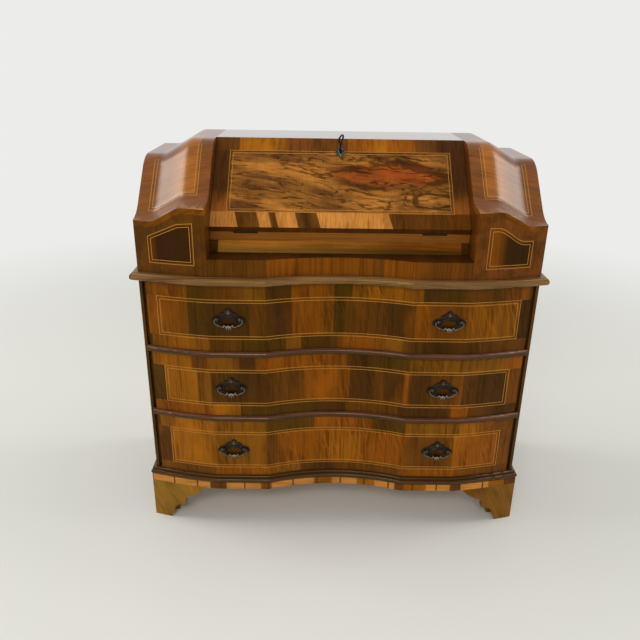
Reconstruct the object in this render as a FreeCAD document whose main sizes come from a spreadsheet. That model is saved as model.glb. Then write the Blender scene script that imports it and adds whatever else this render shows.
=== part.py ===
import FreeCAD
import Part
import Sketcher
import math
import os
from FreeCAD import Placement, Rotation, Vector

# Fall-front bureau on a serpentine chest of three drawers, walnut veneer on softwood.
# Millimetres. X runs to the right, Y to the back, Z up. The origin is on the floor
# under the middle of the piece.

# Driving dimensions: name, value, what it measures.
DIMENSIONS = [
    ("case_half_width", 500.0, "half the width over the sides"),
    ("case_depth", 435.0, "from the flats of the front to the back"),
    ("inner_break", 183.0, "centre line to the inner break of the front"),
    ("outer_break", 325.0, "centre line to the outer break of the front"),
    ("centre_recess", 31.0, "depth of the hollow in the middle of the front"),
    ("corner_setback", 38.0, "how far the corners lie behind the flats"),
    ("corner_bulge", 3.0, "bulge of the front between outer break and corner"),
    ("side_thickness", 16.0, "side boards"),
    ("stile_step_width", 8.0, "rebate along the inside of each stile"),
    ("stile_step_depth", 9.0, "depth of that rebate"),
    ("back_thickness", 10.0, "back panel"),
    ("bottom_thickness", 16.0, "bottom board"),
    ("top_thickness", 22.0, "top board"),
    ("foot_height", 118.0, "bracket feet"),
    ("foot_board", 20.0, "thickness of the brackets"),
    ("foot_toe", 50.0, "width of a foot on the floor"),
    ("foot_reach", 155.0, "length of a bracket along the plinth"),
    ("foot_block", 45.0, "square block inside each foot"),
    ("fascia_height", 19.5, "banded strip of the plinth"),
    ("fascia_reach", 12.0, "how far that strip stands forward"),
    ("fascia_inset", 16.0, "how far that strip runs under the case"),
    ("low_bead_height", 13.0, "lower bead of the plinth moulding"),
    ("low_bead_reach", 14.0, "projection of the lower bead"),
    ("low_bead_radius", 5.5, "rounding of the lower bead"),
    ("high_bead_height", 6.5, "upper bead of the plinth moulding"),
    ("high_bead_reach", 7.0, "projection of the upper bead"),
    ("high_bead_radius", 4.0, "rounding of the upper bead"),
    ("low_bay", 172.0, "opening of the bottom drawer"),
    ("middle_bay", 171.0, "opening of the middle drawer"),
    ("top_bay", 179.0, "opening of the top drawer"),
    ("rail_height", 16.0, "rails between the drawers"),
    ("rail_reach", 10.0, "projection of the rails"),
    ("rail_radius", 7.5, "rounding of the rails"),
    ("rail_depth", 75.0, "flats to the back of the rails"),
    ("dust_thickness", 10.0, "dust boards"),
    ("waist_height", 19.0, "waist moulding"),
    ("waist_reach", 19.0, "projection of the waist moulding"),
    ("waist_top_radius", 10.5, "rounding of its upper edge"),
    ("waist_low_radius", 7.0, "rounding of its lower edge"),
    ("waist_depth", 62.0, "flats to the back of the waist rail"),
    ("frieze_height", 44.0, "frieze above the waist moulding"),
    ("frieze_seat", 12.0, "how far the frieze runs on under the rail above it"),
    ("mid_thickness", 16.0, "board behind the frieze"),
    ("front_skin", 18.0, "thickness of the wing fronts"),
    ("wing_width", 177.5, "width of a wing beside the flap"),
    ("cheek_thickness", 14.0, "inner cheek of a wing"),
    ("shell_thickness", 14.0, "curved cover of a wing"),
    ("lip_drop", 135.0, "top board to the wing's front lip at the flats"),
    ("lip_angle", 7.0, "degrees, rise of the lip"),
    ("hollow_radius", 90.0, "hollow at the foot of the wing's slope"),
    ("brow_radius", 95.0, "round at the head of the wing's slope"),
    ("brow_setback", 198.0, "flats to where the wing's slope would meet the top"),
    ("shoulder_inset", 62.2, "inner face of a wing to where its shoulder starts to fall"),
    ("shoulder_drop", 40.0, "how much lower the outer part of a wing is"),
    ("shoulder_angle", 30.0, "degrees, fall of the shoulder"),
    ("shoulder_radius", 40.0, "both rounds of the shoulder"),
    ("flap_angle", 45.0, "degrees, slope of the closed flap"),
    ("flap_length", 270.0, "flap along the slope"),
    ("flap_thickness", 22.0, "flap"),
    ("flap_top_setback", 253.0, "flats to the flap's upper front edge"),
    ("flap_side_gap", 0.8, "gap between flap and wing"),
    ("flap_edge_gap", 0.5, "gap at the flap's upper and lower edge"),
    ("loper_bay", 27.525, "space for the lopers between frieze and desk floor"),
    ("floor_thickness", 22.0, "desk floor"),
    ("fall_rail_lean", 11.64, "foot of the rail under the desk floor, forward of the hinges"),
    ("fall_rail_reach", 16.36, "hinge line to the back of that rail"),
    ("loper_width", 18.0, "lopers that carry the open flap"),
    ("loper_setback", 70.0, "flats to the front of a loper"),
    ("loper_back_gap", 25.0, "space behind each loper"),
    ("guide_width", 14.0, "guide strip beside each loper"),
    ("slide_gap", 0.3, "running gap under drawers and around lopers"),
    ("gallery_gap", 6.44, "closed flap to the pigeonholes"),
    ("gallery_board", 8.0, "boards of the pigeonholes"),
    ("gallery_shelf_rise", 96.0, "desk floor to the shelf"),
    ("gallery_column", 108.0, "centre line to the uprights"),
    ("drawer_side_gap", 1.2, "gap beside each drawer"),
    ("drawer_top_gap", 1.5, "gap above each drawer"),
    ("drawer_back_gap", 20.0, "space behind each drawer"),
    ("drawer_front", 22.0, "thickness of a drawer front"),
    ("drawer_board", 10.0, "sides and back of a drawer"),
    ("drawer_bottom", 7.0, "bottom of a drawer"),
    ("drawer_bottom_rise", 3.0, "how far the bottom lies above the side's edge"),
    ("drawer_side_drop", 8.0, "how much lower the sides are than the front"),
    ("handle_inset", 50.0, "outer break to the middle of a handle"),
    ("handle_drop", 3.0, "handle below the middle of the drawer"),
    ("plate_thickness", 2.5, "cast backplate"),
    ("plate_half_length", 26.0, "oval part of the backplate"),
    ("plate_half_height", 18.0, "oval part of the backplate"),
    ("plate_end_reach", 30.0, "middle of the backplate to its end scrolls"),
    ("plate_end_radius", 8.5, "end scrolls"),
    ("plate_crest_rise", 20.0, "middle of the backplate to its crest"),
    ("plate_crest_radius", 8.0, "crest"),
    ("plate_lobe_reach", 14.0, "middle of the backplate to its side lobes"),
    ("plate_lobe_radius", 8.0, "side lobes"),
    ("pierced_half_length", 11.0, "pierced oval"),
    ("pierced_half_height", 6.0, "pierced oval"),
    ("pierced_drop", 6.0, "pierced oval below the middle"),
    ("post_reach", 27.0, "middle of the backplate to a post"),
    ("post_rise", 4.0, "posts above the middle"),
    ("post_radius", 3.2, "posts"),
    ("post_length", 9.0, "face of the drawer to the bail's pivot"),
    ("post_head_radius", 4.4, "round head of a post"),
    ("shank_radius", 2.0, "threaded shank behind a post"),
    ("shank_hole_gap", 0.1, "clearance round the shank"),
    ("nut_radius", 5.0, "nut inside the drawer"),
    ("nut_thickness", 3.0, "nut inside the drawer"),
    ("bail_radius", 2.0, "rod of the bail"),
    ("bail_pin_radius", 1.5, "ends of the bail in the posts"),
    ("bail_arm", 34.5, "middle to the bail's arm"),
    ("bail_waist", 13.0, "middle to where the arms reach the leaf"),
    ("bail_waist_drop", 20.0, "pivot to where the arms reach the leaf"),
    ("bail_drop", 22.0, "pivot to the rod's lowest point"),
    ("bail_bend", 5.0, "bends of the bail"),
    ("leaf_radius", 12.0, "leaf on the middle of the bail"),
    ("leaf_thickness", 3.0, "leaf on the middle of the bail"),
    ("leaf_drop", 19.0, "pivot to the head of the leaf"),
    ("pin_clearance", 0.05, "between a pin and its bore"),
    ("hinge_inset", 87.5, "inner face of a wing to the middle of a hinge"),
    ("hinge_half_length", 30.0, "hinge"),
    ("hinge_knuckle_half", 10.0, "middle knuckle of a hinge"),
    ("hinge_knuckle_radius", 3.2, "knuckles"),
    ("hinge_pin_radius", 1.4, "hinge pin"),
    ("hinge_leaf_width", 25.0, "leaf, from the pin's axis"),
    ("hinge_leaf_thickness", 1.5, "leaf"),
    ("hinge_gap", 0.4, "running gap round the knuckles"),
    ("lock_half_width", 28.0, "lock case"),
    ("lock_head", 8.0, "upper edge of the flap to the lock case"),
    ("lock_height", 46.0, "lock case along the flap"),
    ("lock_depth", 11.0, "lock case"),
    ("lock_wall", 2.5, "lock case"),
    ("bolt_half_width", 12.0, "lock bolt"),
    ("bolt_thickness", 5.0, "lock bolt"),
    ("bolt_length", 28.0, "lock bolt"),
    ("bolt_throw", 8.0, "travel of the lock bolt"),
    ("key_drop", 38.0, "upper edge of the flap to the keyhole"),
    ("key_shank_radius", 2.6, "key"),
    ("key_tip", 2.8, "inner face of the flap to the key's tip"),
    ("key_bit_reach", 7.0, "key bit"),
    ("key_bit_thickness", 2.2, "key bit"),
    ("key_reach", 50.0, "face of the flap to the middle of the bow"),
    ("key_bow_radius", 10.0, "bow of the key"),
    ("key_bow_wire", 2.0, "rod of the bow"),
    ("key_collar_radius", 4.2, "collar of the key"),
    ("key_collar_length", 5.0, "collar of the key"),
    ("keyhole_gap", 0.5, "clearance in the keyhole"),
    ("escutcheon_half_width", 11.0, "keyhole plate"),
    ("escutcheon_rise", 15.0, "keyhole to the plate's upper edge"),
    ("escutcheon_drop", 20.0, "keyhole to the plate's lower tip"),
    ("escutcheon_thickness", 1.5, "keyhole plate"),
    ("overrun", 20.0, "how far cutting solids pass the piece they cut"),
    ("headroom", 200.0, "how far the space above the wings is cleared"),
]

# Shape of a bracket foot, as shares of its reach past the toe and of its height.
BRACKET_SHARES = [(0.10, 0.27), (0.28, 0.40), (0.42, 0.43), (0.42, 0.60), (0.48, 0.66),
                  (0.66, 0.73), (0.84, 0.84), (1.0, 1.0)]
COVE_BULGE_SHARE = 0.12
TOLERANCE = 1e-3

NODES = []
doc = FreeCAD.newDocument("bureau")
sheet = doc.addObject("Spreadsheet::Sheet", "Sizes")
os.makedirs("parts", exist_ok=True)


class Length:
    """A size that keeps both its expression for the document and its value."""

    def __init__(self, text, value):
        self.text = text
        self.value = value

    def __float__(self):
        return float(self.value)

    def joined(self, other, sign, value, turned=False):
        first, second = (wrap(other), self) if turned else (self, wrap(other))
        return Length(f"({first.text} {sign} {second.text})", value)

    def __add__(self, other):
        return self.joined(other, "+", self.value + float(other))

    def __radd__(self, other):
        return self.joined(other, "+", self.value + float(other), True)

    def __sub__(self, other):
        return self.joined(other, "-", self.value - float(other))

    def __rsub__(self, other):
        return self.joined(other, "-", float(other) - self.value, True)

    def __mul__(self, other):
        return self.joined(other, "*", self.value * float(other))

    def __rmul__(self, other):
        return self.joined(other, "*", self.value * float(other), True)

    def __truediv__(self, other):
        return self.joined(other, "/", self.value / float(other))

    def __neg__(self):
        return Length(f"(-{self.text})", -self.value)


def wrap(number):
    if isinstance(number, Length):
        return number
    return Length(repr(number), number)


def sine(angle):
    return Length(f"sin({angle.text} * 1 deg)", math.sin(math.radians(angle.value)))


def cosine(angle):
    return Length(f"cos({angle.text} * 1 deg)", math.cos(math.radians(angle.value)))


class Sizes:
    """Every cell of the sheet as an attribute."""


def fill_sheet():
    for row, (name, value, meaning) in enumerate(DIMENSIONS, start=1):
        sheet.set(f"A{row}", name)
        sheet.set(f"B{row}", str(value))
        sheet.set(f"C{row}", meaning)
        sheet.setAlias(f"B{row}", name)
    doc.recompute()
    for name, value, meaning in DIMENSIONS:
        setattr(Sizes, name, Length(f"Sizes.{name}", float(sheet.get(name))))


fill_sheet()
s = Sizes

# Levels above the floor.
fascia_z = s.foot_height
bead_z = fascia_z + s.fascia_height
base_z = bead_z + s.low_bead_height + s.high_bead_height
low_rail_z = base_z + s.low_bay
middle_z = low_rail_z + s.rail_height
high_rail_z = middle_z + s.middle_bay
upper_z = high_rail_z + s.rail_height
waist_z = upper_z + s.top_bay
frieze_z = waist_z + s.waist_height
ledge_z = frieze_z + s.frieze_height

# Distances from front to back, all from the flats of the front.
flats_y = (s.waist_reach - s.case_depth) / 2
back_y = flats_y + s.case_depth
panel_y = back_y - s.back_thickness

# Hinge line of the flap, its inner lower edge, and the levels above it.
floor_z = ledge_z + s.loper_bay
hinge_z = floor_z + s.floor_thickness
crown_z = (hinge_z + s.flap_length * sine(s.flap_angle)
           + s.flap_thickness * cosine(s.flap_angle))
flap_back_y = flats_y + s.flap_top_setback + s.flap_thickness * sine(s.flap_angle)
hinge_y = flap_back_y - s.flap_length * cosine(s.flap_angle)
rail_foot_y = hinge_y - s.fall_rail_lean
rail_back_y = hinge_y + s.fall_rail_reach
gallery_y = flap_back_y + s.gallery_gap
inside_x = s.case_half_width - s.side_thickness
wing_reach = s.case_half_width - s.wing_width
shoulder_start = wing_reach + s.shoulder_inset
hinge_reach = wing_reach - s.hinge_inset
handle_reach = s.outer_break - s.handle_inset
drawer_length = panel_y - flats_y - s.drawer_back_gap
loper_length = panel_y - flats_y - s.loper_setback - s.loper_back_gap
guide_x = wing_reach - s.slide_gap - s.loper_width - s.slide_gap


def point(x, y, z):
    return Vector(float(x), float(y), float(z))


def keep(item, label):
    """Names a finished sub-part, whose label is also its file's name."""
    item.Label = label
    NODES.append(item)
    return item


def solid(label, shape):
    """A sub-part whose shape comes from Part's own functions and the sheet."""
    item = doc.addObject("Part::Feature", label)
    item.Shape = shape
    return keep(item, label)


def board(label, x, y, z, kept=True):
    """A plain board between two limits on each axis, bound to the sheet."""
    item = doc.addObject("Part::Box", label)
    for size, (low, high) in zip(("Length", "Width", "Height"), (x, y, z)):
        item.setExpression(size, (wrap(high) - low).text)
    for axis, (low, high) in zip("xyz", (x, y, z)):
        item.setExpression(f"Placement.Base.{axis}", wrap(low).text)
    return keep(item, label) if kept else item


def block(x, y, z):
    """A box shape between two limits on each axis."""
    low = point(x[0], y[0], z[0])
    high = point(x[1], y[1], z[1])
    span = high - low
    return Part.makeBox(span.x, span.y, span.z, low)


def mirrored(shape):
    return shape.mirror(Vector(0, 0, 0), Vector(1, 0, 0))


def joined(shapes):
    first = shapes[0]
    return first.multiFuse(shapes[1:]).removeSplitter() if len(shapes) > 1 else first


def chain(corners, radii):
    """Edges of an open line through corners, each inner corner rounded by a tangent arc."""
    edges = []
    start = corners[0]
    for before, corner, after, radius in zip(corners, corners[1:], corners[2:], radii):
        backward = (before - corner).normalize()
        forward = (after - corner).normalize()
        half_angle = backward.getAngle(forward) / 2
        reach = float(radius) / math.tan(half_angle)
        first = corner + backward * reach
        last = corner + forward * reach
        inward = (backward + forward).normalize()
        centre = corner + inward * (float(radius) / math.sin(half_angle))
        middle = centre - inward * float(radius)
        edges.append(Part.makeLine(start, first))
        edges.append(Part.Arc(first, middle, last).toShape())
        start = last
    edges.append(Part.makeLine(start, corners[-1]))
    return edges


# The serpentine front.

def front_arcs(forward):
    """Centres and radii of the front's hollow and its outer bows, moved forward."""
    recess = float(s.centre_recess)
    half = float(s.inner_break)
    hollow_radius = (half ** 2 + recess ** 2) / (2 * recess)
    hollow_centre = recess - hollow_radius
    start = Vector(float(s.outer_break), 0, 0)
    end = Vector(float(s.case_half_width), float(s.corner_setback), 0)
    chord = end - start
    bulge = float(s.corner_bulge)
    bow_radius = (chord.Length ** 2 / 4 + bulge ** 2) / (2 * bulge)
    across = Vector(-chord.y, chord.x, 0).normalize()
    bow_centre = (start + end) * 0.5 + across * (bow_radius - bulge)
    return hollow_centre, hollow_radius - forward, bow_centre, bow_radius + forward


def front_edges(forward, half_width):
    """The front line from left to right at a distance forward of the case's own face."""
    forward = float(forward)
    half_width = float(half_width)
    base = float(flats_y)
    hollow_centre, hollow_radius, bow_centre, bow_radius = front_arcs(forward)
    inner = math.sqrt(hollow_radius ** 2 - (forward + hollow_centre) ** 2)
    outer = bow_centre.x + math.sqrt(bow_radius ** 2 - (bow_centre.y + forward) ** 2)

    def bow(x):
        return bow_centre.y - math.sqrt(bow_radius ** 2 - (x - bow_centre.x) ** 2)

    def place(x, y):
        return Vector(x, base + y, 0)

    middle = (outer + half_width) / 2
    right = Part.Arc(place(outer, -forward), place(middle, bow(middle)),
                     place(half_width, bow(half_width))).toShape()
    left = Part.Arc(place(-half_width, bow(half_width)), place(-middle, bow(middle)),
                    place(-outer, -forward)).toShape()
    hollow = Part.Arc(place(-inner, -forward), place(0, hollow_centre + hollow_radius),
                      place(inner, -forward)).toShape()
    left_flat = Part.makeLine(place(-outer, -forward), place(-inner, -forward))
    right_flat = Part.makeLine(place(inner, -forward), place(outer, -forward))
    return [left, left_flat, hollow, right_flat, right]


def slab(forward, half_width, back, low, high):
    """A solid behind the serpentine front line, back to a straight edge."""
    edges = front_edges(forward, half_width)
    first = edges[0].Vertexes[0].Point
    last = edges[-1].Vertexes[-1].Point
    right_back = Vector(last.x, float(back), 0)
    left_back = Vector(first.x, float(back), 0)
    edges.append(Part.makeLine(last, right_back))
    edges.append(Part.makeLine(right_back, left_back))
    edges.append(Part.makeLine(left_back, first))
    face = Part.Face(Part.Wire(edges))
    face.translate(Vector(0, 0, float(low)))
    return face.extrude(Vector(0, 0, float(high) - float(low)))


def nosed(shape, level, radius, half_width):
    """Rounds the front edge, and the side edges that show, at one level."""
    edges = []
    back = float(back_y)
    for edge in shape.Edges:
        middle = edge.CenterOfMass
        flat = abs(edge.BoundBox.ZMin - float(level)) + abs(edge.BoundBox.ZMax - float(level))
        on_back = edge.BoundBox.YMin > back - TOLERANCE
        on_side = abs(middle.x) > float(half_width) - TOLERANCE
        if flat < TOLERANCE and not on_back and (on_side or edge.BoundBox.YMin < back / 2):
            edges.append(edge)
    return shape.makeFillet(float(radius), edges)


def band(low, high, reach, top_radius, low_radius):
    """A moulding round front and sides, still solid behind."""
    half_width = s.case_half_width + reach
    shape = slab(reach, half_width, back_y, low, high)
    if top_radius:
        shape = nosed(shape, high, top_radius, half_width)
    if low_radius:
        shape = nosed(shape, low, low_radius, half_width)
    return shape


def mitre_wedge(low, high):
    """Everything in front of the two mitre lines that start at the corners."""
    half = float(s.case_half_width)
    corner = float(flats_y + s.corner_setback)
    out = float(s.overrun + s.waist_reach)
    outline = [Vector(-half - out, corner - half, 0), Vector(half + out, corner - half, 0),
               Vector(half + out, corner - out, 0), Vector(0, corner + half, 0),
               Vector(-half - out, corner - out, 0)]
    face = Part.Face(Part.makePolygon(outline + outline[:1]))
    face.translate(Vector(0, 0, float(low)))
    return face.extrude(Vector(0, 0, float(high) - float(low)))


def mitred(ring, low, high):
    """Cuts a moulding ring into its front, left and right lengths."""
    wedge = mitre_wedge(low, high)
    front = ring.common(wedge)
    sides = ring.cut(wedge)
    left, right = sorted(sides.Solids, key=lambda part: part.CenterOfMass.x)
    return front, left, right


# Case of the chest.

def case_core(low, high, forward=0):
    return slab(forward, s.case_half_width, back_y, low, high)


def make_plinth():
    fascia = band(fascia_z, bead_z, s.fascia_reach, None, None)
    hidden = s.case_half_width - s.fascia_inset
    fascia = fascia.cut(slab(-s.fascia_inset, hidden, back_y + s.overrun, fascia_z, bead_z))
    top = bead_z + s.low_bead_height
    low_bead = band(bead_z, top, s.low_bead_reach, s.low_bead_radius, s.low_bead_radius)
    high_bead = band(top, base_z, s.high_bead_reach, s.high_bead_radius, None)
    beads = low_bead.fuse(high_bead).cut(case_core(bead_z, base_z))
    parts = mitred(fascia.fuse(beads).removeSplitter(), fascia_z, base_z)
    for name, shape in zip(("front", "left", "right"), parts):
        solid(f"plinth_{name}", shape)


def make_waist():
    ring = band(waist_z, frieze_z, s.waist_reach, s.waist_top_radius, s.waist_low_radius)
    ring = ring.cut(case_core(waist_z, frieze_z))
    front, left, right = mitred(ring, waist_z, frieze_z)
    rail = slab(0, inside_x, flats_y + s.waist_depth, waist_z, frieze_z)
    solid("waist_moulding_front", front.fuse(rail))
    solid("waist_moulding_left", left)
    solid("waist_moulding_right", right)


def make_rail(label, low):
    high = low + s.rail_height
    half_width = inside_x + s.stile_step_width
    back = flats_y + s.corner_setback
    nose = slab(s.rail_reach, half_width, back, low, high)
    edges = []
    for edge in nose.Edges:
        box = edge.BoundBox
        in_front = box.YMin < float(back) - TOLERANCE
        if box.ZLength < TOLERANCE and box.XLength > TOLERANCE and in_front:
            edges.append(edge)
    nose = nose.makeFillet(float(s.rail_radius), edges)
    tail = slab(0, inside_x, flats_y + s.rail_depth, low, high)
    solid(label, nose.fuse(tail))


def make_side(label, flip):
    x = (inside_x, s.case_half_width)
    lower = block(x, (flats_y, back_y), (bead_z, frieze_z)).common(case_core(bead_z, frieze_z))
    step = block((inside_x, inside_x + s.stile_step_width),
                 (flats_y, flats_y + s.corner_setback + s.stile_step_depth), (base_z, waist_z))
    upper = block(x, (flats_y, back_y), (frieze_z, crown_z))
    upper = upper.common(case_core(frieze_z, crown_z, -s.front_skin))
    shape = lower.cut(step).fuse(upper).cut(wing_cover(s.headroom))
    solid(label, mirrored(shape) if flip else shape)


def make_case_boards():
    y = (flats_y + s.rail_depth, panel_y)
    x = (-inside_x, inside_x)
    for label, top in (("dust_board_lower", middle_z), ("dust_board_upper", upper_z)):
        board(label, x, y, (top - s.dust_thickness, top))
    board("mid_board", x, (rail_foot_y + s.frieze_seat, panel_y), (ledge_z - s.mid_thickness, ledge_z))
    solid("bottom_board", slab(0, inside_x, panel_y, base_z - s.bottom_thickness, base_z))
    panel = block(x, (panel_y, back_y), (bead_z, crown_z - s.top_thickness))
    cover = wing_cover(s.headroom)
    solid("back_panel", panel.cut(cover).cut(mirrored(cover)))


def make_frieze():
    """The frieze between the wing fronts, carried on behind them to the sides."""
    y = (flats_y, rail_foot_y + s.frieze_seat)
    shown = block((-wing_reach, wing_reach), y, (frieze_z, ledge_z))
    shown = shown.common(case_core(frieze_z, ledge_z))
    hidden = block((-inside_x, inside_x), y, (frieze_z, ledge_z))
    hidden = hidden.common(case_core(frieze_z, ledge_z, -s.front_skin))
    solid("frieze", shown.fuse(hidden).removeSplitter())


# Feet.

def bracket_outline(place):
    """Foot outline in its own plane, from the outer edge inwards."""
    toe = float(s.foot_toe)
    past = float(s.foot_reach) - toe
    height = float(s.foot_height)
    inner = [place(toe + across * past, up * height) for across, up in BRACKET_SHARES]
    toe_point = place(toe, 0)
    bulge = (inner[0] - toe_point) * COVE_BULGE_SHARE
    cove = Part.Arc(inner[0], (inner[0] + inner[1]) / 2 + bulge, inner[1]).toShape()
    edges = [Part.makeLine(place(0, 0), toe_point), Part.makeLine(toe_point, inner[0]), cove]
    edges += [Part.makeLine(a, b) for a, b in zip(inner[1:4], inner[2:5])]
    crest = Part.BSplineCurve()
    crest.interpolate(inner[4:])
    edges.append(crest.toShape())
    edges.append(Part.makeLine(inner[-1], place(0, height)))
    edges.append(Part.makeLine(place(0, height), place(0, 0)))
    return Part.Face(Part.Wire(edges))


def make_feet():
    reach = s.fascia_reach
    height = s.foot_height
    outer_x = float(s.case_half_width + reach)
    ring = slab(reach, s.case_half_width + reach, back_y, 0, height)
    hidden = s.case_half_width + reach - s.foot_board
    ring = ring.cut(slab(reach - s.foot_board, hidden, back_y + s.overrun, 0, height))
    corner = flats_y + s.corner_setback - reach
    before = float(flats_y - s.overrun)
    front_face = bracket_outline(lambda across, up: Vector(outer_x - across, before, up))
    depth = float(s.overrun + s.corner_setback + s.foot_board)
    front_prism = front_face.extrude(Vector(0, depth, 0))
    start = float(corner)
    within = outer_x - float(s.foot_board)
    side_face = bracket_outline(lambda across, up: Vector(within, start + across, up))
    side_prism = side_face.extrude(Vector(float(s.foot_board), 0, 0))
    front_foot = ring.common(front_prism.fuse(side_prism))
    stand = block((hidden - s.foot_block, hidden),
                  (corner + s.foot_board, corner + s.foot_board + s.foot_block), (0, height))
    front_foot = front_foot.fuse(stand.cut(front_foot))
    end = float(back_y)
    rear_face = bracket_outline(lambda across, up: Vector(within, end - across, up))
    rear_side = rear_face.extrude(Vector(float(s.foot_board), 0, 0))
    back_y_inner = end - float(s.foot_board)
    back_face = bracket_outline(lambda across, up: Vector(outer_x - across, back_y_inner, up))
    rear_back = back_face.extrude(Vector(0, float(s.foot_board), 0))
    block_back = back_y - s.foot_board
    stand = block((hidden - s.foot_block, hidden), (block_back - s.foot_block, block_back), (0, height))
    rear_foot = joined([rear_side, rear_back, stand])
    solid("foot_front_left", mirrored(front_foot))
    solid("foot_front_right", front_foot)
    solid("feet_rear", Part.makeCompound([mirrored(rear_foot), rear_foot]))


# Wings beside the flap.

def wing_path():
    """The wing's slope seen from the side, from the front lip to the back."""
    rise = math.tan(math.radians(float(s.lip_angle)))
    slope = math.tan(math.radians(float(s.flap_angle)))
    top = float(crown_z)
    lip = float(crown_z - s.lip_drop)
    brow = float(flats_y + s.brow_setback)
    base = float(flats_y)
    meeting = (top - lip - slope * (brow - base)) / (rise - slope)
    start = -float(s.overrun)
    corners = [Vector(0, base + start, lip + rise * start),
               Vector(0, base + meeting, lip + rise * meeting),
               Vector(0, brow, top),
               Vector(0, float(back_y), top)]
    return Part.Wire(chain(corners, (s.hollow_radius, s.brow_radius)))


def wing_cover(above, below=None):
    """Space over the right wing, from a depth under its curved top to a height above it."""
    below = s.shell_thickness if below is None else below
    path = wing_path()
    origin = path.Edges[0].Vertexes[0].Point
    fall = float(s.shoulder_drop) / math.tan(math.radians(float(s.shoulder_angle)))
    first = float(shoulder_start)
    heights = (0, 0, -float(s.shoulder_drop), -float(s.shoulder_drop))
    reaches = (float(wing_reach), first, first + fall, float(s.case_half_width + s.overrun))

    def edge_line(shift):
        corners = [Vector(x, origin.y, origin.z + shift + z) for x, z in zip(reaches, heights)]
        return chain(corners, (s.shoulder_radius, s.shoulder_radius))

    low = edge_line(-float(below))
    high = edge_line(float(above))
    ends = [Part.makeLine(low[i].Vertexes[i].Point, high[i].Vertexes[i].Point) for i in (0, -1)]
    section = Part.Wire(Part.__sortEdges__(low + high + ends))
    sweep = Part.BRepOffsetAPI.MakePipeShell(path)
    sweep.setTrihedronMode(origin, Vector(0, 1, 0))
    sweep.add(section)
    sweep.build()
    sweep.makeSolid()
    return sweep.shape()


def make_wing(side, flip):
    def turn(shape):
        return mirrored(shape) if flip else shape

    x = (wing_reach, s.case_half_width)
    high = crown_z + s.overrun
    cover = wing_cover(s.headroom)
    shell = wing_cover(0).common(case_core(ledge_z, high))
    solid(f"wing_top_{side}", turn(shell))
    behind = slab(-s.front_skin, s.case_half_width + s.overrun, back_y, frieze_z, high)
    skin = case_core(frieze_z, high).cut(behind)
    front = skin.common(block(x, (flats_y, back_y), (frieze_z, crown_z))).cut(cover)
    solid(f"wing_front_{side}", turn(front))
    behind = slab(-s.front_skin, s.case_half_width, panel_y, ledge_z, crown_z)
    cheek = block((wing_reach, wing_reach + s.cheek_thickness), (flats_y, panel_y),
                  (ledge_z, crown_z))
    solid(f"wing_cheek_{side}", turn(cheek.common(behind).cut(cover)))


# Desk between the wings.

def in_flap(shape):
    """Moves a shape from the flap's own frame, hinge line first, into the closed place."""
    shape.Placement = flap_placement()
    return shape


def flap_placement():
    return Placement(point(0, hinge_y, hinge_z), Rotation(Vector(1, 0, 0), float(s.flap_angle)))


def hinge_notches(gap):
    """Room for the knuckles, along the hinge line, in place."""
    radius = float(s.hinge_knuckle_radius + gap)
    length = 2 * float(s.hinge_half_length + gap)
    shapes = []
    for side in (-1, 1):
        start = point(side * hinge_reach - s.hinge_half_length - gap, hinge_y, hinge_z)
        shapes.append(Part.makeCylinder(radius, length, start, Vector(1, 0, 0)))
    return joined(shapes)


def case_leaf_room():
    shapes = []
    for side in (-1, 1):
        middle = side * hinge_reach
        shapes.append(block((middle - s.hinge_half_length, middle + s.hinge_half_length),
                            (hinge_y, hinge_y + s.hinge_leaf_width),
                            (hinge_z - s.hinge_leaf_thickness, hinge_z)))
    return joined(shapes)


def make_desk():
    x = (-wing_reach, wing_reach)
    floor = block(x, (hinge_y + s.flap_edge_gap, panel_y), (floor_z, hinge_z))
    solid("desk_floor", floor.cut(hinge_notches(s.hinge_gap)).cut(case_leaf_room()))
    top = block(x, (flats_y, back_y), (crown_z - s.top_thickness, crown_z))
    room = Part.makeBox(2 * float(wing_reach + s.overrun), float(s.flap_length + s.flap_edge_gap),
                        2 * float(s.case_depth), point(-wing_reach - s.overrun, 0, -s.case_depth))
    top = top.cut(in_flap(room))
    pocket = block((-s.bolt_half_width - s.keyhole_gap, s.bolt_half_width + s.keyhole_gap),
                   (s.flap_length, s.flap_length + s.bolt_throw + 2 * s.flap_edge_gap),
                   (bolt_low - s.keyhole_gap, bolt_low + s.bolt_thickness + s.keyhole_gap))
    solid("top_board", top.cut(in_flap(pocket)))
    outline = [point(-guide_x, rail_foot_y, ledge_z),
               point(-guide_x, hinge_y + s.flap_edge_gap, floor_z - s.slide_gap),
               point(-guide_x, hinge_y + s.flap_edge_gap, floor_z),
               point(-guide_x, rail_back_y, floor_z),
               point(-guide_x, rail_back_y, ledge_z)]
    rail = Part.Face(Part.makePolygon(outline + outline[:1]))
    solid("fall_rail", rail.extrude(point(2 * guide_x, 0, 0)))
    y = (rail_back_y, panel_y)
    guides = [block(x, y, (ledge_z, floor_z)) for x in ((-guide_x, s.guide_width - guide_x),
                                                        (guide_x - s.guide_width, guide_x))]
    solid("loper_guides", Part.makeCompound(guides))
    start = flats_y + s.loper_setback
    for side, left in (("left", -wing_reach + s.slide_gap), ("right", guide_x + s.slide_gap)):
        board(f"loper_{side}", (left, left + s.loper_width), (start, start + loper_length),
              (ledge_z + s.slide_gap, floor_z - s.slide_gap))


def make_gallery():
    low = hinge_z
    high = crown_z - s.top_thickness
    y = (gallery_y, panel_y)
    shelf_z = hinge_z + s.gallery_shelf_rise
    pieces = [block((-wing_reach, wing_reach), y, (shelf_z, shelf_z + s.gallery_board))]
    for side in (-1, 1):
        middle = side * s.gallery_column
        pieces.append(block((middle - s.gallery_board / 2, middle + s.gallery_board / 2), y, (low, high)))
    solid("gallery", joined(pieces))


# Flap, its hinges and its lock.

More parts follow.
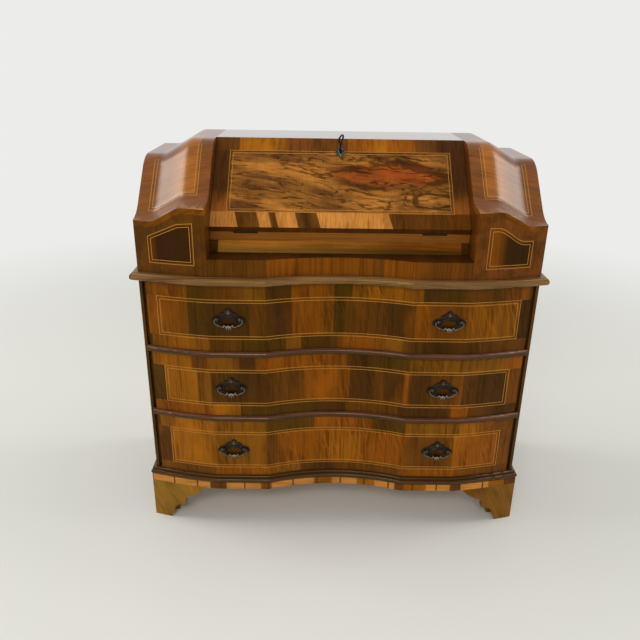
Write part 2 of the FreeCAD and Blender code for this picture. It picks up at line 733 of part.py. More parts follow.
bolt_low = s.key_tip + s.keyhole_gap + s.lock_wall / 2
keyhole_y = s.flap_length - s.key_drop
bolt_start = s.flap_length - s.flap_edge_gap - s.bolt_length


class Piece:
    """A PartDesign body whose sketches are bound to the sheet."""

    def __init__(self, label):
        self.label = label
        self.body = doc.addObject("PartDesign::Body", label)
        self.count = 0

    def sketch(self, level, role="XY_Plane"):
        self.count += 1
        sketch = self.body.newObject("Sketcher::SketchObject", f"{self.label}_sketch{self.count}")
        planes = [item for item in self.body.Origin.OriginFeatures if item.Role == role]
        sketch.AttachmentSupport = [(planes[0], "")]
        sketch.MapMode = "FlatFace"
        sketch.setExpression("AttachmentOffset.Base.z", wrap(level).text)
        return sketch

    def bind(self, sketch, constraint, length):
        number = sketch.addConstraint(constraint)
        sketch.setExpression(f"Constraints[{number}]", wrap(length).text)

    def place(self, sketch, item, end, x, y):
        """Fixes one point of a sketch at bound distances from the body's origin."""
        for kind, axis, length in (("DistanceX", -2, x), ("DistanceY", -1, y)):
            if float(length) == 0:
                sketch.addConstraint(Sketcher.Constraint("PointOnObject", item, end, axis))
            else:
                rule = Sketcher.Constraint(kind, -1, 1, item, end, float(length))
                self.bind(sketch, rule, length)

    def polygon(self, sketch, corners):
        first = sketch.GeometryCount
        total = len(corners)
        for (x, y), (next_x, next_y) in zip(corners, corners[1:] + corners[:1]):
            sketch.addGeometry(Part.LineSegment(point(x, y, 0), point(next_x, next_y, 0)), False)
        for number in range(total):
            following = first + (number + 1) % total
            sketch.addConstraint(Sketcher.Constraint("Coincident", first + number, 2, following, 1))
        for number, (x, y) in enumerate(corners):
            self.place(sketch, first + number, 1, x, y)

    def circle(self, sketch, x, y, radius):
        ring = Part.Circle(point(x, y, 0), Vector(0, 0, 1), float(radius))
        number = sketch.addGeometry(ring, False)
        self.place(sketch, number, 3, x, y)
        self.bind(sketch, Sketcher.Constraint("Radius", number, float(radius)), radius)

    def pad(self, sketch, height):
        feature = self.body.newObject("PartDesign::Pad", f"{sketch.Name}_pad")
        feature.Profile = sketch
        feature.setExpression("Length", wrap(height).text)
        return feature

    def pocket(self, sketch, depth):
        """Cuts from the sketch towards the body's own +Z."""
        feature = self.body.newObject("PartDesign::Pocket", f"{sketch.Name}_pocket")
        feature.Profile = sketch
        feature.Reversed = True
        feature.setExpression("Length", wrap(depth).text)
        return feature

    def in_flap(self):
        self.body.Placement = flap_placement()
        self.body.setExpression("Placement.Base.y", hinge_y.text)
        self.body.setExpression("Placement.Base.z", hinge_z.text)
        return keep(self.body, self.label)


def rectangle(x0, x1, y0, y1):
    return [(x0, y0), (x1, y0), (x1, y1), (x0, y1)]


def bit_slit():
    """The part of the keyhole that lets the bit through."""
    half = s.key_bit_thickness / 2 + s.keyhole_gap
    return rectangle(-half, half, keyhole_y - s.key_bit_reach - s.keyhole_gap, keyhole_y)


def make_flap():
    piece = Piece("flap")
    half = wing_reach - s.flap_side_gap
    face = piece.sketch(0)
    piece.polygon(face, rectangle(-half, half, s.flap_edge_gap, s.flap_length))
    piece.pad(face, s.flap_thickness)
    lock_top = s.flap_length - s.lock_head
    lock = piece.sketch(0)
    side = s.lock_half_width
    piece.polygon(lock, rectangle(-side, side, lock_top - s.lock_height, lock_top))
    piece.pocket(lock, s.lock_depth)
    slot = piece.sketch(bolt_low - s.keyhole_gap)
    side = s.bolt_half_width + s.keyhole_gap
    piece.polygon(slot, rectangle(-side, side, lock_top - s.overrun, s.flap_length + s.overrun))
    piece.pocket(slot, s.bolt_thickness + 2 * s.keyhole_gap)
    hole = piece.sketch(0)
    piece.circle(hole, 0, keyhole_y, s.key_shank_radius + s.keyhole_gap)
    piece.pocket(hole, s.flap_thickness + s.overrun)
    slit = piece.sketch(0)
    piece.polygon(slit, bit_slit())
    piece.pocket(slit, s.flap_thickness + s.overrun)
    for number, side in enumerate((-1, 1)):
        middle = side * hinge_reach
        ends = (middle - s.hinge_half_length, middle + s.hinge_half_length)
        leaf = piece.sketch(0)
        piece.polygon(leaf, rectangle(*ends, -s.overrun, s.hinge_leaf_width))
        piece.pocket(leaf, s.hinge_leaf_thickness)
        gap_ends = (ends[0] - s.hinge_gap, ends[1] + s.hinge_gap)
        knuckle = piece.sketch(-s.overrun)
        radius = s.hinge_knuckle_radius + s.hinge_gap
        piece.polygon(knuckle, rectangle(*gap_ends, -s.overrun, radius))
        piece.pocket(knuckle, s.overrun + radius)
    piece.in_flap()


def hinge_leaf(side, own_knuckles, bore):
    """One leaf in the flap's frame, its knuckles on the hinge line."""
    middle = side * hinge_reach
    gap = s.hinge_gap
    half = s.hinge_half_length
    radius = s.hinge_knuckle_radius
    leaf = block((middle - half, middle + half), (radius + gap, s.hinge_leaf_width),
                 (0, s.hinge_leaf_thickness))
    parts = [leaf]
    for low, high in own_knuckles:
        start = point(middle + low, 0, 0)
        parts.append(Part.makeCylinder(float(radius), float(high - low), start, Vector(1, 0, 0)))
        parts.append(block((middle + low, middle + high), (0, radius + gap), (0, s.hinge_leaf_thickness)))
    start = point(middle - half, 0, 0)
    if bore:
        shape = joined(parts)
        hole = float(s.hinge_pin_radius + s.pin_clearance)
        return shape.cut(Part.makeCylinder(hole, 2 * float(half), start, Vector(1, 0, 0)))
    parts.append(Part.makeCylinder(float(s.hinge_pin_radius), 2 * float(half), start, Vector(1, 0, 0)))
    return joined(parts)


def make_hinges():
    half = s.hinge_half_length
    inner = s.hinge_knuckle_half
    moving = [hinge_leaf(side, [(s.slide_gap - inner, inner - s.slide_gap)], True) for side in (-1, 1)]
    solid("hinge_leaves_flap", in_flap(Part.makeCompound(moving)))
    fixed = []
    for side in (-1, 1):
        leaf = hinge_leaf(side, [(-half, -inner), (inner, half)], False)
        leaf.Placement = Placement(point(0, hinge_y, hinge_z), Rotation(Vector(1, 0, 0), 0))
        flipped = leaf.mirror(point(0, hinge_y, hinge_z), Vector(0, 0, 1))
        fixed.append(flipped)
    solid("hinge_leaves_desk", Part.makeCompound(fixed))


def make_lock():
    top = s.flap_length - s.lock_head
    case = Piece("lock_case")
    outline = case.sketch(0)
    wall = s.lock_wall / 2
    side = s.lock_half_width
    case.polygon(outline, rectangle(-side, side, top - s.lock_height, top))
    case.pad(outline, s.lock_depth)
    room = case.sketch(bolt_low - s.keyhole_gap)
    side = s.bolt_half_width + s.keyhole_gap
    low = keyhole_y - s.key_bit_reach - s.keyhole_gap
    case.polygon(room, rectangle(-side, side, low, top + s.overrun))
    case.pocket(room, s.bolt_thickness + 2 * s.keyhole_gap)
    hole = case.sketch(wall)
    case.circle(hole, 0, keyhole_y, s.key_shank_radius + s.keyhole_gap)
    case.pocket(hole, s.lock_depth)
    slit = case.sketch(bolt_low - s.keyhole_gap)
    case.polygon(slit, bit_slit())
    case.pocket(slit, s.lock_depth)
    case.in_flap()
    bolt = Piece("lock_bolt")
    outline = bolt.sketch(bolt_low)
    bolt.polygon(outline, rectangle(-s.bolt_half_width, s.bolt_half_width, bolt_start,
                                    bolt_start + s.bolt_length))
    bolt.pad(outline, s.bolt_thickness)
    bolt.in_flap()


def make_key():
    bow = s.flap_thickness + s.key_reach
    start = point(0, keyhole_y, s.key_tip)
    along = Vector(0, 0, 1)
    shank_end = bow - s.key_bow_radius
    shank = Part.makeCylinder(float(s.key_shank_radius), float(shank_end - s.key_tip), start, along)
    ring = Part.makeTorus(float(s.key_bow_radius), float(s.key_bow_wire), point(0, keyhole_y, bow),
                          Vector(1, 0, 0))
    collar_start = point(0, keyhole_y, shank_end - s.key_collar_length - s.key_bow_wire)
    collar = Part.makeCylinder(float(s.key_collar_radius), float(s.key_collar_length), collar_start, along)
    half = s.key_bit_thickness / 2
    bit = block((-half, half), (keyhole_y - s.key_bit_reach, keyhole_y),
                (bolt_low, bolt_low + s.bolt_thickness))
    solid("key", in_flap(joined([shank, ring, collar, bit])))


def make_escutcheon():
    top = keyhole_y + s.escutcheon_rise
    low = keyhole_y - s.escutcheon_drop
    level = s.flap_thickness

    def at(x, y):
        return point(x, y, level)

    side = s.escutcheon_half_width
    half = side / 2
    waist_y = keyhole_y - half
    right = Part.Arc(at(half, top), at(side, keyhole_y + half), at(half, waist_y))
    tip = Part.Arc(at(half, waist_y), at(half, low + side), at(0, low))
    left_tip = Part.Arc(at(0, low), at(-half, low + side), at(-half, waist_y))
    left = Part.Arc(at(-half, waist_y), at(-side, keyhole_y + half), at(-half, top))
    crest = Part.Arc(at(-half, top), at(0, top + half), at(half, top))
    outline = Part.Wire([arc.toShape() for arc in (right, tip, left_tip, left, crest)])
    plate = Part.Face(outline).extrude(Vector(0, 0, float(s.escutcheon_thickness)))
    hole = float(s.key_shank_radius + s.keyhole_gap)
    below = level - s.overrun / 2
    cut = Part.makeCylinder(hole, float(s.overrun), point(0, keyhole_y, below), Vector(0, 0, 1))
    corners = bit_slit()
    slit = block((corners[0][0], corners[2][0]), (corners[0][1], corners[2][1]), (below, below + s.overrun))
    solid("escutcheon", in_flap(plate.cut(cut).cut(slit)))


# Drawers and their handles.

def drawer_shapes(low, bay):
    """The boards of one drawer, by name."""
    half = inside_x - s.drawer_side_gap
    bottom = low + s.slide_gap
    top = low + bay - s.drawer_top_gap
    front = slab(0, half, back_y, bottom, top)
    front = front.cut(slab(-s.drawer_front, s.case_half_width, back_y, bottom, top))
    middle = low + bay / 2 - s.handle_drop
    radius = float(s.shank_radius + s.shank_hole_gap)
    length = float(s.drawer_front + 2 * s.overrun)
    for x, z in post_places(middle):
        start = point(x, flats_y - s.overrun, z)
        front = front.cut(Part.makeCylinder(radius, length, start, Vector(0, 1, 0)))
    end = flats_y + drawer_length
    inner = half - s.drawer_board
    behind = slab(-s.drawer_front, s.case_half_width, end, bottom, top - s.drawer_side_drop)
    side = block((inner, half), (flats_y, end), (bottom, top - s.drawer_side_drop)).common(behind)
    floor = bottom + s.drawer_bottom_rise
    tray = slab(-s.drawer_front, s.case_half_width, end - s.drawer_board, floor, floor + s.drawer_bottom)
    tray = tray.common(block((-inner, inner), (flats_y, end), (bottom, top)))
    rear = block((-inner, inner), (end - s.drawer_board, end), (floor, top - s.drawer_side_drop))
    sides = Part.makeCompound([mirrored(side), side])
    return {"front": front, "sides": sides, "bottom": tray, "back": rear}


def post_places(middle):
    """Where the posts of both handles go through a drawer front."""
    return [(side * handle_reach + end * s.post_reach, middle + s.post_rise)
            for side in (-1, 1) for end in (-1, 1)]


def oval(half_length, half_height, x, z, front, back):
    """An oval disc in the plane of the front."""
    long_way = max(float(half_length), float(half_height))
    short_way = min(float(half_length), float(half_height))
    ring = Part.Ellipse(Vector(0, 0, 0), long_way, short_way).toShape()
    face = Part.Face(Part.Wire(ring))
    face.rotate(Vector(0, 0, 0), Vector(1, 0, 0), 90)
    face.translate(point(x, front, z))
    return face.extrude(Vector(0, float(back) - float(front), 0))


def handle_plate(x, z):
    """Cast plate with its posts, shanks and nuts."""
    front = flats_y - s.plate_thickness
    back = flats_y
    lobes = [(s.plate_end_reach, 0, s.plate_end_radius), (0, s.plate_crest_rise, s.plate_crest_radius),
             (s.plate_lobe_reach, s.plate_half_height - s.plate_lobe_radius / 2, s.plate_lobe_radius),
             (s.plate_lobe_reach, s.plate_lobe_radius / 2 - s.plate_half_height, s.plate_lobe_radius)]
    parts = [oval(s.plate_half_length, s.plate_half_height, x, z, front, back)]
    for across, up, radius in lobes:
        for side in (-1, 1):
            parts.append(oval(radius, radius, x + side * across, z + up, front, back))
    plate = joined(parts).cut(oval(s.pierced_half_length, s.pierced_half_height, x, z - s.pierced_drop,
                                   front - s.overrun, back + s.overrun))
    parts = [plate]
    pivot = flats_y - s.post_length
    height = z + s.post_rise
    inside = flats_y + s.drawer_front
    for side in (-1, 1):
        post_x = x + side * s.post_reach
        foot_y = flats_y - s.plate_thickness / 2
        end_y = inside + s.nut_thickness + s.shank_radius
        rods = ((s.post_radius, pivot, foot_y), (s.shank_radius, foot_y, end_y),
                (s.nut_radius, inside, inside + s.nut_thickness))
        for radius, start, end in rods:
            parts.append(Part.makeCylinder(float(radius), float(end - start),
                                           point(post_x, start, height), Vector(0, 1, 0)))
        parts.append(Part.makeSphere(float(s.post_head_radius), point(post_x, pivot, height)))
    shape = joined(parts)
    bore = float(s.bail_pin_radius + s.pin_clearance)
    start = point(x - s.bail_arm, pivot, height)
    return shape.cut(Part.makeCylinder(bore, 2 * float(s.bail_arm), start, Vector(1, 0, 0)))


def handle_bail(x, z):
    """Hanging bail: a bent rod with a leaf in its middle and pins that turn in the posts."""
    pivot = flats_y - s.post_length
    height = z + s.post_rise

    def at(across, down):
        return point(x + across, pivot, height - down)

    corners = [at(-s.bail_arm, 0), at(-s.bail_arm, s.bail_bend * 2), at(-s.bail_waist, s.bail_waist_drop),
               at(0, s.bail_drop), at(s.bail_waist, s.bail_waist_drop), at(s.bail_arm, s.bail_bend * 2),
               at(s.bail_arm, 0)]
    path = Part.Wire(chain(corners, [s.bail_bend] * 5))
    profile = Part.Wire(Part.makeCircle(float(s.bail_radius), corners[0], Vector(0, 0, 1)))
    rod = path.makePipeShell([profile], True, False)
    parts = [rod]
    pin_length = s.bail_arm - s.post_reach + s.post_head_radius
    for side in (-1, 1):
        start = x + side * s.bail_arm
        low = start if side < 0 else start - pin_length
        parts.append(Part.makeCylinder(float(s.bail_pin_radius), float(pin_length),
                                       point(low, pivot, height), Vector(1, 0, 0)))
        parts.append(Part.makeSphere(float(s.bail_radius), point(start, pivot, height)))
    top = height - s.leaf_drop
    half = s.leaf_thickness / 2
    disc = oval(s.leaf_radius, s.leaf_radius, x, top, pivot - half, pivot + half)
    lower = block((x - s.leaf_radius, x + s.leaf_radius), (pivot - half, pivot + half),
                  (top - s.leaf_radius, top))
    parts.append(disc.common(lower))
    return joined(parts)


def make_drawers():
    bays = (("low", base_z, s.low_bay), ("middle", middle_z, s.middle_bay), ("top", upper_z, s.top_bay))
    for name, low, bay in bays:
        for piece, shape in drawer_shapes(low, bay).items():
            solid(f"drawer_{name}_{piece}", shape)
        middle = low + bay / 2 - s.handle_drop
        plates = [handle_plate(side * handle_reach, middle) for side in (-1, 1)]
        solid(f"drawer_{name}_handle_plates", Part.makeCompound(plates))
        for side, label in ((-1, "left"), (1, "right")):
            solid(f"bail_{name}_{label}", handle_bail(side * handle_reach, middle))


def build():
    make_side("side_left", True)
    make_side("side_right", False)
    make_case_boards()
    make_rail("rail_lower", low_rail_z)
    make_rail("rail_upper", high_rail_z)
    make_plinth()
    make_waist()
    make_frieze()
    make_feet()
    make_wing("left", True)
    make_wing("right", False)
    make_desk()
    make_gallery()
    make_flap()
    make_hinges()
    make_lock()
    make_key()
    make_escutcheon()
    make_drawers()


def write():
    doc.recompute()
    for item in doc.Objects:
        if "Invalid" in item.State or "Error" in item.State:
            raise RuntimeError(f"{item.Label}: {item.State}")
    for item in NODES:
        if item.Shape.isNull() or not item.Shape.isValid():
            raise RuntimeError(f"{item.Label} has no valid shape")
        item.Shape.exportStep(f"parts/{item.Label}.step")
    print(len(NODES), "sub-parts written")


build()
write()
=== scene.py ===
"""Looks of a fall-front bureau: veneers, stringing, cast handles, lock fittings and a plain studio."""

import math

import bpy
from bpy.props import FloatProperty, FloatVectorProperty, PointerProperty
from mathutils import Matrix, Vector


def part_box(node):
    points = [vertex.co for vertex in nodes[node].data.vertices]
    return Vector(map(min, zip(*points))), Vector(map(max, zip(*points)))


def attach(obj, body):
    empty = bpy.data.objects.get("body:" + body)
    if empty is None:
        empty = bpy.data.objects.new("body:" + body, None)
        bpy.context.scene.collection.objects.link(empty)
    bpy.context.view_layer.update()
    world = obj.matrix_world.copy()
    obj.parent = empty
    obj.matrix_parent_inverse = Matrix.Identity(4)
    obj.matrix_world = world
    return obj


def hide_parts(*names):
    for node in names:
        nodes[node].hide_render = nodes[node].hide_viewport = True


bl_info = {
    "name": "Fall-front bureau",
    "version": (1, 0, 0),
    "blender": (4, 5, 0),
    "location": "View3D > Sidebar > Bureau",
    "description": "Dresses the packed bureau in veneer and cast bronze and sets up its studio",
    "category": "Object",
}

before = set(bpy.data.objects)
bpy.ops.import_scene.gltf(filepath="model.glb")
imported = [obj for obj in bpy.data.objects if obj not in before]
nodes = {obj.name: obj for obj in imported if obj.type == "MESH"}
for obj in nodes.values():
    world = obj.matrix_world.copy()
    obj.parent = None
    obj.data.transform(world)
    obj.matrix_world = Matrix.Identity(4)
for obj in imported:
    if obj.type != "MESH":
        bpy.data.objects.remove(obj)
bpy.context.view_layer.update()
DRAWERS = ("low", "middle", "top")
SIDES = ("left", "right")


def linear(red, green, blue):
    """A colour as seen on a screen, 0 to 255, in the renderer's own values."""
    def channel(value):
        value /= 255
        return value / 12.92 if value <= 0.04045 else ((value + 0.055) / 1.055) ** 2.4
    return tuple(channel(value) for value in (red, green, blue))


def colour(name, about, red, green, blue):
    return FloatVectorProperty(name=name, description=about, subtype="COLOR", size=3, min=0, max=1,
                               default=linear(red, green, blue))


def scalar(name, about, default, **kind):
    return FloatProperty(name=name, description=about, default=default, **kind)


def length(name, about, default):
    return scalar(name, about, default, unit="LENGTH")


def turn(name, about, degrees):
    return scalar(name, about, math.radians(degrees), subtype="ANGLE")


class BureauTones(bpy.types.PropertyGroup):
    """Colours of the woods and metals."""

    orange: colour("Orange walnut", "Warm leaves of the drawer fronts", 128, 68, 10)
    golden: colour("Golden walnut", "Lighter leaves", 140, 82, 12)
    amber: colour("Amber sapwood", "Lightest blocks of the cross banding", 200, 132, 60)
    russet: colour("Russet walnut", "Reddish leaves", 104, 56, 14)
    brown: colour("Brown walnut", "Plain middle brown", 90, 50, 12)
    dark: colour("Dark heartwood", "Darkest leaves", 64, 35, 12)
    olive: colour("Olive heartwood", "Greenish dark leaves", 68, 43, 8)
    moss: colour("Olive sapwood", "Greenish golden leaves", 116, 70, 14)
    rail: colour("Stained moulding", "Rails and plinth beads", 66, 40, 14)
    stile: colour("Case side", "Sides of the case", 76, 48, 14)
    waist: colour("Waist moulding", "Olive brown moulding under the desk", 122, 90, 56)
    gilt: colour("Burl ground", "Ground of the burl on the flap", 158, 102, 42)
    sienna: colour("Wing walnut", "Borders of the wings", 124, 68, 12)
    boxwood: colour("Stringing", "Double lines of light wood", 178, 122, 52)
    softwood: colour("Softwood", "Drawer linings and the back", 168, 128, 80)
    bronze: colour("Dark bronze", "Handles", 46, 35, 27)
    # Pale high spots of the handles: partly worn bronze, partly painted highlight.
    patina: colour("Rubbed bronze and sheen", "High spots of the handles", 158, 142, 124)
    verdigris: colour("Verdigris", "Green shade in the bronze", 60, 64, 48)
    iron: colour("Iron", "Key and lock", 46, 40, 36)
    rust: colour("Rust", "Spots on key and lock", 66, 46, 34)
    black_iron: colour("Blackened iron", "Hinges", 30, 24, 20)
    black_rust: colour("Brown of the hinges", "Spots on the hinges", 52, 36, 26)
    zinc: colour("Zinc", "Light metal of the keyhole plate", 104, 106, 90)
    zinc_dark: colour("Dark zinc", "Spots on the keyhole plate", 44, 46, 38)
    # Painted shade: the dark wood behind the pierced plates stands in for the plates' shadow.
    grime: colour("Grime", "Dark wood behind the pierced plates", 30, 16, 10)
    foot_left: colour("Left feet", "Walnut of the feet on the left", 144, 104, 34)
    foot_right: colour("Right feet", "Walnut of the feet on the right", 128, 84, 24)
    # Painted highlight: the light upper edge of the rails stands in for the light on their rounded beads.
    bead_light: colour("Bead highlight", "Upper edge of the rails", 106, 68, 50)
    desk_edge: colour("Desk edge", "Front edge of the desk floor", 140, 84, 32)
    loper: colour("Lopers", "The two slides that carry the flap", 78, 46, 18)
    flap_side: colour("Side banding", "Banding at the flap's sides", 78, 44, 20)
    flap_foot: colour("Foot of the banding", "Lighter end of the side banding", 150, 86, 32)
    flap_edge: colour("Flap edge", "Underside of the flap's foot", 92, 54, 20)
    burl_shade: colour("Burl shade", "Dark zones of the burl", 92, 54, 28)
    burl_light: colour("Burl light", "Light streaks of the burl", 194, 124, 52)
    burl_eye: colour("Burl eye", "Red heart of the burl", 146, 60, 20)
    wing_glow: colour("Wing glow", "Golden inner strip of the wings' tops", 158, 92, 18)
    wing_front: colour("Right wing front", "Borders on the right wing's front", 112, 59, 20)
    wing_panel: colour("Wing panel", "Dark panels on the wings' fronts", 42, 17, 6)
    # Pale patches near the wings' lips: partly worn polish, partly a painted highlight carrying the lamps'
    # sheen down to the lip.
    scuff: colour("Sheen and scuffs", "Sheen and worn polish near the wings' lips", 206, 160, 112)
    # Painted highlight: the bright line along the wings' lips stands in for the light caught on their rounded
    # edge.
    lip: colour("Lip", "Bright line along the wings' lips", 232, 160, 104)


def paint(name, strength=1.0):
    """A tone of the panel, by name."""
    return tuple(part * strength for part in getattr(bpy.context.scene.bureau_tones, name))


class BureauSizes(bpy.types.PropertyGroup):
    """Sizes of what the looks add to the solids."""

    string_width: length("String width", "Width of one light line", 0.0016)
    string_spacing: length("String spacing", "Between the two lines of a pair", 0.0075)
    plate_relief: length("Plate relief", "How far the cast plate stands out", 0.0048)
    voxel: length("Casting grain", "Finest form of the castings", 0.00045)


class BureauStudio(bpy.types.PropertyGroup):
    """Camera, lamps and floor."""

    lens: scalar("Lens", "Focal length in millimetres on a 36 mm sensor", 36.10)
    pitch: turn("Pitch", "Camera tilt below the horizon", 22.408)
    yaw: turn("Yaw", "Camera turn to the right", 0.416)
    roll: turn("Roll", "Camera turn about its own line of sight", 0.877)
    place: FloatVectorProperty(name="Camera place", description="Where the camera stands", size=3,
                               subtype="TRANSLATION", default=(-0.0581, -1.6849, 1.2305))
    sky: scalar("Ceiling", "Strength of the even light from above", 0.34)
    walls: scalar("Walls", "Strength of the even light from the sides", 0.80)
    lamps: scalar("Side lamps", "Strength of the soft lamps at both sides", 60.0)
    front: scalar("Front lamp", "Strength of the soft lamp above the camera", 46.0)
    floor: colour("Floor", "Pale floor", 228, 227, 220)
    wall: colour("Room", "Pale tone of the room behind", 236, 236, 234)


# Shader maths.

class Socket:
    """A shader value, to which Python's operators add Math nodes."""

    def __init__(self, shader, link):
        self.shader = shader
        self.link = link

    def math(self, operation, *values):
        return self.shader.add("ShaderNodeMath", {"operation": operation}, *values)

    def __rsub__(self, other):
        return self.math("SUBTRACT", other, self)

    def __abs__(self):
        return self.math("ABSOLUTE", self)

    def sine(self):
        return self.math("SINE", self)

    def between(self, low, high):
        """1 where the value lies between two limits."""
        return (self > low) * (self < high)

    def fade(self, low, high, first=0.0, last=1.0):
        """Runs smoothly from the first value to the last between two limits."""
        return self.shader.add("ShaderNodeMapRange", {"interpolation_type": "SMOOTHSTEP"},
                               self, low, high, first, last)


def operator(operation):
    def apply(self, other):
        return self.math(operation, self, other)
    return apply


for name, operation in {"__add__": "ADD", "__radd__": "ADD", "__sub__": "SUBTRACT", "__mul__": "MULTIPLY",
                        "__rmul__": "MULTIPLY", "__truediv__": "DIVIDE", "__gt__": "GREATER_THAN",
                        "__lt__": "LESS_THAN", "larger": "MAXIMUM", "smaller": "MINIMUM"}.items():
    setattr(Socket, name, operator(operation))


class Shader:
    """One material, or the world's light, built from expressions."""

    def __init__(self, name, world=None):
        self.material = world or bpy.data.materials.new(name)
        self.material.use_nodes = True
        self.tree = self.material.node_tree
        self.tree.nodes.clear()
        self.place = self.add("ShaderNodeTexCoord", {}, out="Generated" if world else "Object")
        self.x, self.y, self.z = self.split(self.place)

    def add(self, kind, settings, *values, out=0, **named):
        """A node of any kind: its settings first, then its sockets' values or links."""
        node = self.tree.nodes.new(kind)
        for name, value in settings.items():
            if name == "stops":
                fill_ramp(node.color_ramp, value)
            elif name == "blend":
                node.color_ramp.interpolation = value
            else:
                setattr(node, name, value)
        slots = list(enumerate(values)) + [(name.replace("_", " "), value) for name, value in named.items()]
        for key, value in slots:
            if isinstance(value, Socket):
                self.tree.links.new(value.link, node.inputs[key])
            elif value is not None:
                node.inputs[key].default_value = value
        return Socket(self, node.outputs[out]) if node.outputs else None

    def split(self, vector):
        first = self.add("ShaderNodeSeparateXYZ", {}, vector)
        return [Socket(self, output) for output in first.link.node.outputs]

    def join(self, x, y, z):
        return self.add("ShaderNodeCombineXYZ", {}, x, y, z)

    def normal(self):
        return self.split(self.add("ShaderNodeTexCoord", {}, out="Normal"))

    def noise(self, vector, scale, detail, roughness):
        return self.add("ShaderNodeTexNoise", {}, Vector=vector, Scale=scale, Detail=detail,
                        Roughness=roughness)

    def growth(self, x, y, z, detail=3.0, roughness=0.55):
        """Noise at a place made of three values."""
        return self.noise(self.join(x, y, z), 1.0, detail, roughness)

    def ramp(self, value, stops, blend="LINEAR"):
        return self.add("ShaderNodeValToRGB", {"stops": stops, "blend": blend}, value)

    def mix(self, factor, first, second, blend="MIX"):
        settings = {"data_type": "RGBA", "blend_type": blend}
        unused = (None,) * 5
        return self.add("ShaderNodeMix", settings, factor, *unused, solid(first), solid(second), out=2)

    def multiply(self, first, second):
        return self.mix(1.0, first, second, "MULTIPLY")

    def surface(self, base, roughness, height, bump, coat=0.0, coat_roughness=0.15, metallic=0.0,
                specular=0.5, tint=(1.0, 1.0, 1.0)):
        """Ends the material with one surface shader."""
        relief = self.add("ShaderNodeBump", {}, Strength=bump, Distance=0.001, Height=height)
        face = self.add("ShaderNodeBsdfPrincipled", {}, Base_Color=solid(base), Roughness=roughness,
                        Metallic=metallic, Coat_Weight=coat, Coat_Roughness=coat_roughness,
                        Specular_IOR_Level=specular, Specular_Tint=solid(tint), Normal=relief)
        self.add("ShaderNodeOutputMaterial", {}, face)
        return self.material


def solid(value):
    """A colour with its fourth number; a string stands for the panel's tone of that name."""
    if isinstance(value, str):
        value = paint(value)
    return (*value, 1.0) if isinstance(value, tuple) and len(value) == 3 else value


def fill_ramp(ramp, stops):
    while len(ramp.elements) > 1:
        ramp.elements.remove(ramp.elements[-1])
    ramp.elements[0].position = stops[0][0]
    ramp.elements[0].color = solid(stops[0][1])
    for position, value in stops[1:]:
        element = ramp.elements.new(position)
        element.color = solid(value)


# Modelling.

def mm(*values):
    return Vector(values) / 1000


def select(pieces):
    bpy.ops.object.select_all(action="DESELECT")
    for piece in pieces:
        piece.select_set(True)
    bpy.context.view_layer.objects.active = pieces[0]


def dome(place, radii, tilt=0.0):
    """A ball flattened to its three radii, turned in the plane of the drawer."""
    bpy.ops.mesh.primitive_uv_sphere_add(segments=32, ring_count=16, radius=1, location=place, scale=radii,
                                         rotation=(0, tilt, 0))
    return bpy.context.object


def rod(start, end, thick, thin):
    """A tapering rod with round ends."""
    start, end = Vector(start), Vector(end)
    way = end - start
    bpy.ops.mesh.primitive_cone_add(vertices=24, radius1=thick, radius2=thin, depth=way.length,
                                    location=(start + end) / 2,
                                    rotation=way.to_track_quat("Z", "Y").to_euler())
    shaft = bpy.context.object
    return [shaft, dome(start, (thick,) * 3), dome(end, (thin,) * 3)]


def wire(points, radii):
    """Rods from point to point, each end as thick as its point says."""
    forms = []
    for start, end, thick, thin in zip(points, points[1:], radii, radii[1:]):
        forms += rod(start, end, thick, thin)
    return forms


def scroll(place, reach, thick, squeeze=1.0, depth=1.0):
    """A ring lying in the plane of the drawer, squeezed to an oval."""
    bpy.ops.mesh.primitive_torus_add(major_radius=reach, minor_radius=thick, major_segments=48,
                                     minor_segments=14, location=place, rotation=(math.pi / 2, 0, 0))
    ring = bpy.context.object
    ring.scale = (1, squeeze, depth)
    return ring


def disc(place, radius, depth, corners=48):
    """A flat disc whose axis runs from front to back."""
    bpy.ops.mesh.primitive_cylinder_add(vertices=corners, radius=radius, depth=depth, location=place,
                                        rotation=(math.pi / 2, 0, 0))
    return bpy.context.object


def join(pieces, name):
    select(pieces)
    bpy.ops.object.join()
    piece = bpy.context.object
    piece.name = name
    bpy.ops.object.transform_apply()
    return piece


def modify(piece, kind, **settings):
    """Adds a modifier and applies it."""
    select([piece])
    change = piece.modifiers.new(kind.title(), kind)
    for key, value in settings.items():
        setattr(change, key, value)
    bpy.ops.object.modifier_apply(modifier=change.name)


def melt(piece, grain, share, rounds=3, tools=()):
    """Melts joined forms into one cast skin and cuts its holes and its flat back."""
    modify(piece, "REMESH", mode="VOXEL", voxel_size=grain)
    for tool in tools:
        modify(piece, "BOOLEAN", operation="DIFFERENCE", object=tool, solver="EXACT")
        bpy.data.objects.remove(tool)
    modify(piece, "SMOOTH", factor=0.5, iterations=rounds)
    modify(piece, "DECIMATE", ratio=share)
    select([piece])
    bpy.ops.object.shade_smooth()


def placed_copy(model, name, place, tilt=0.0):
    """A copy with a mesh of its own, set down at a place with its object at the origin."""
    select([model])
    bpy.ops.object.duplicate(linked=False)
    piece = bpy.context.object
    piece.name = name
    piece.data.name = name
    piece.location = place
    piece.rotation_euler = (tilt, 0, 0)
    bpy.ops.object.transform_apply()
    return piece


def dress(node, material, width=0.0, angle=30):
    """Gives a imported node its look, with its edges eased where a width is given."""
    target = nodes[node]
    target.data.materials.clear()
    target.data.materials.append(material)
    if width:
        ease = target.modifiers.new("Eased edges", "BEVEL")
        ease.width = width
        ease.segments = 2
        ease.limit_method = "ANGLE"
        ease.angle_limit = math.radians(angle)
        ease.harden_normals = True


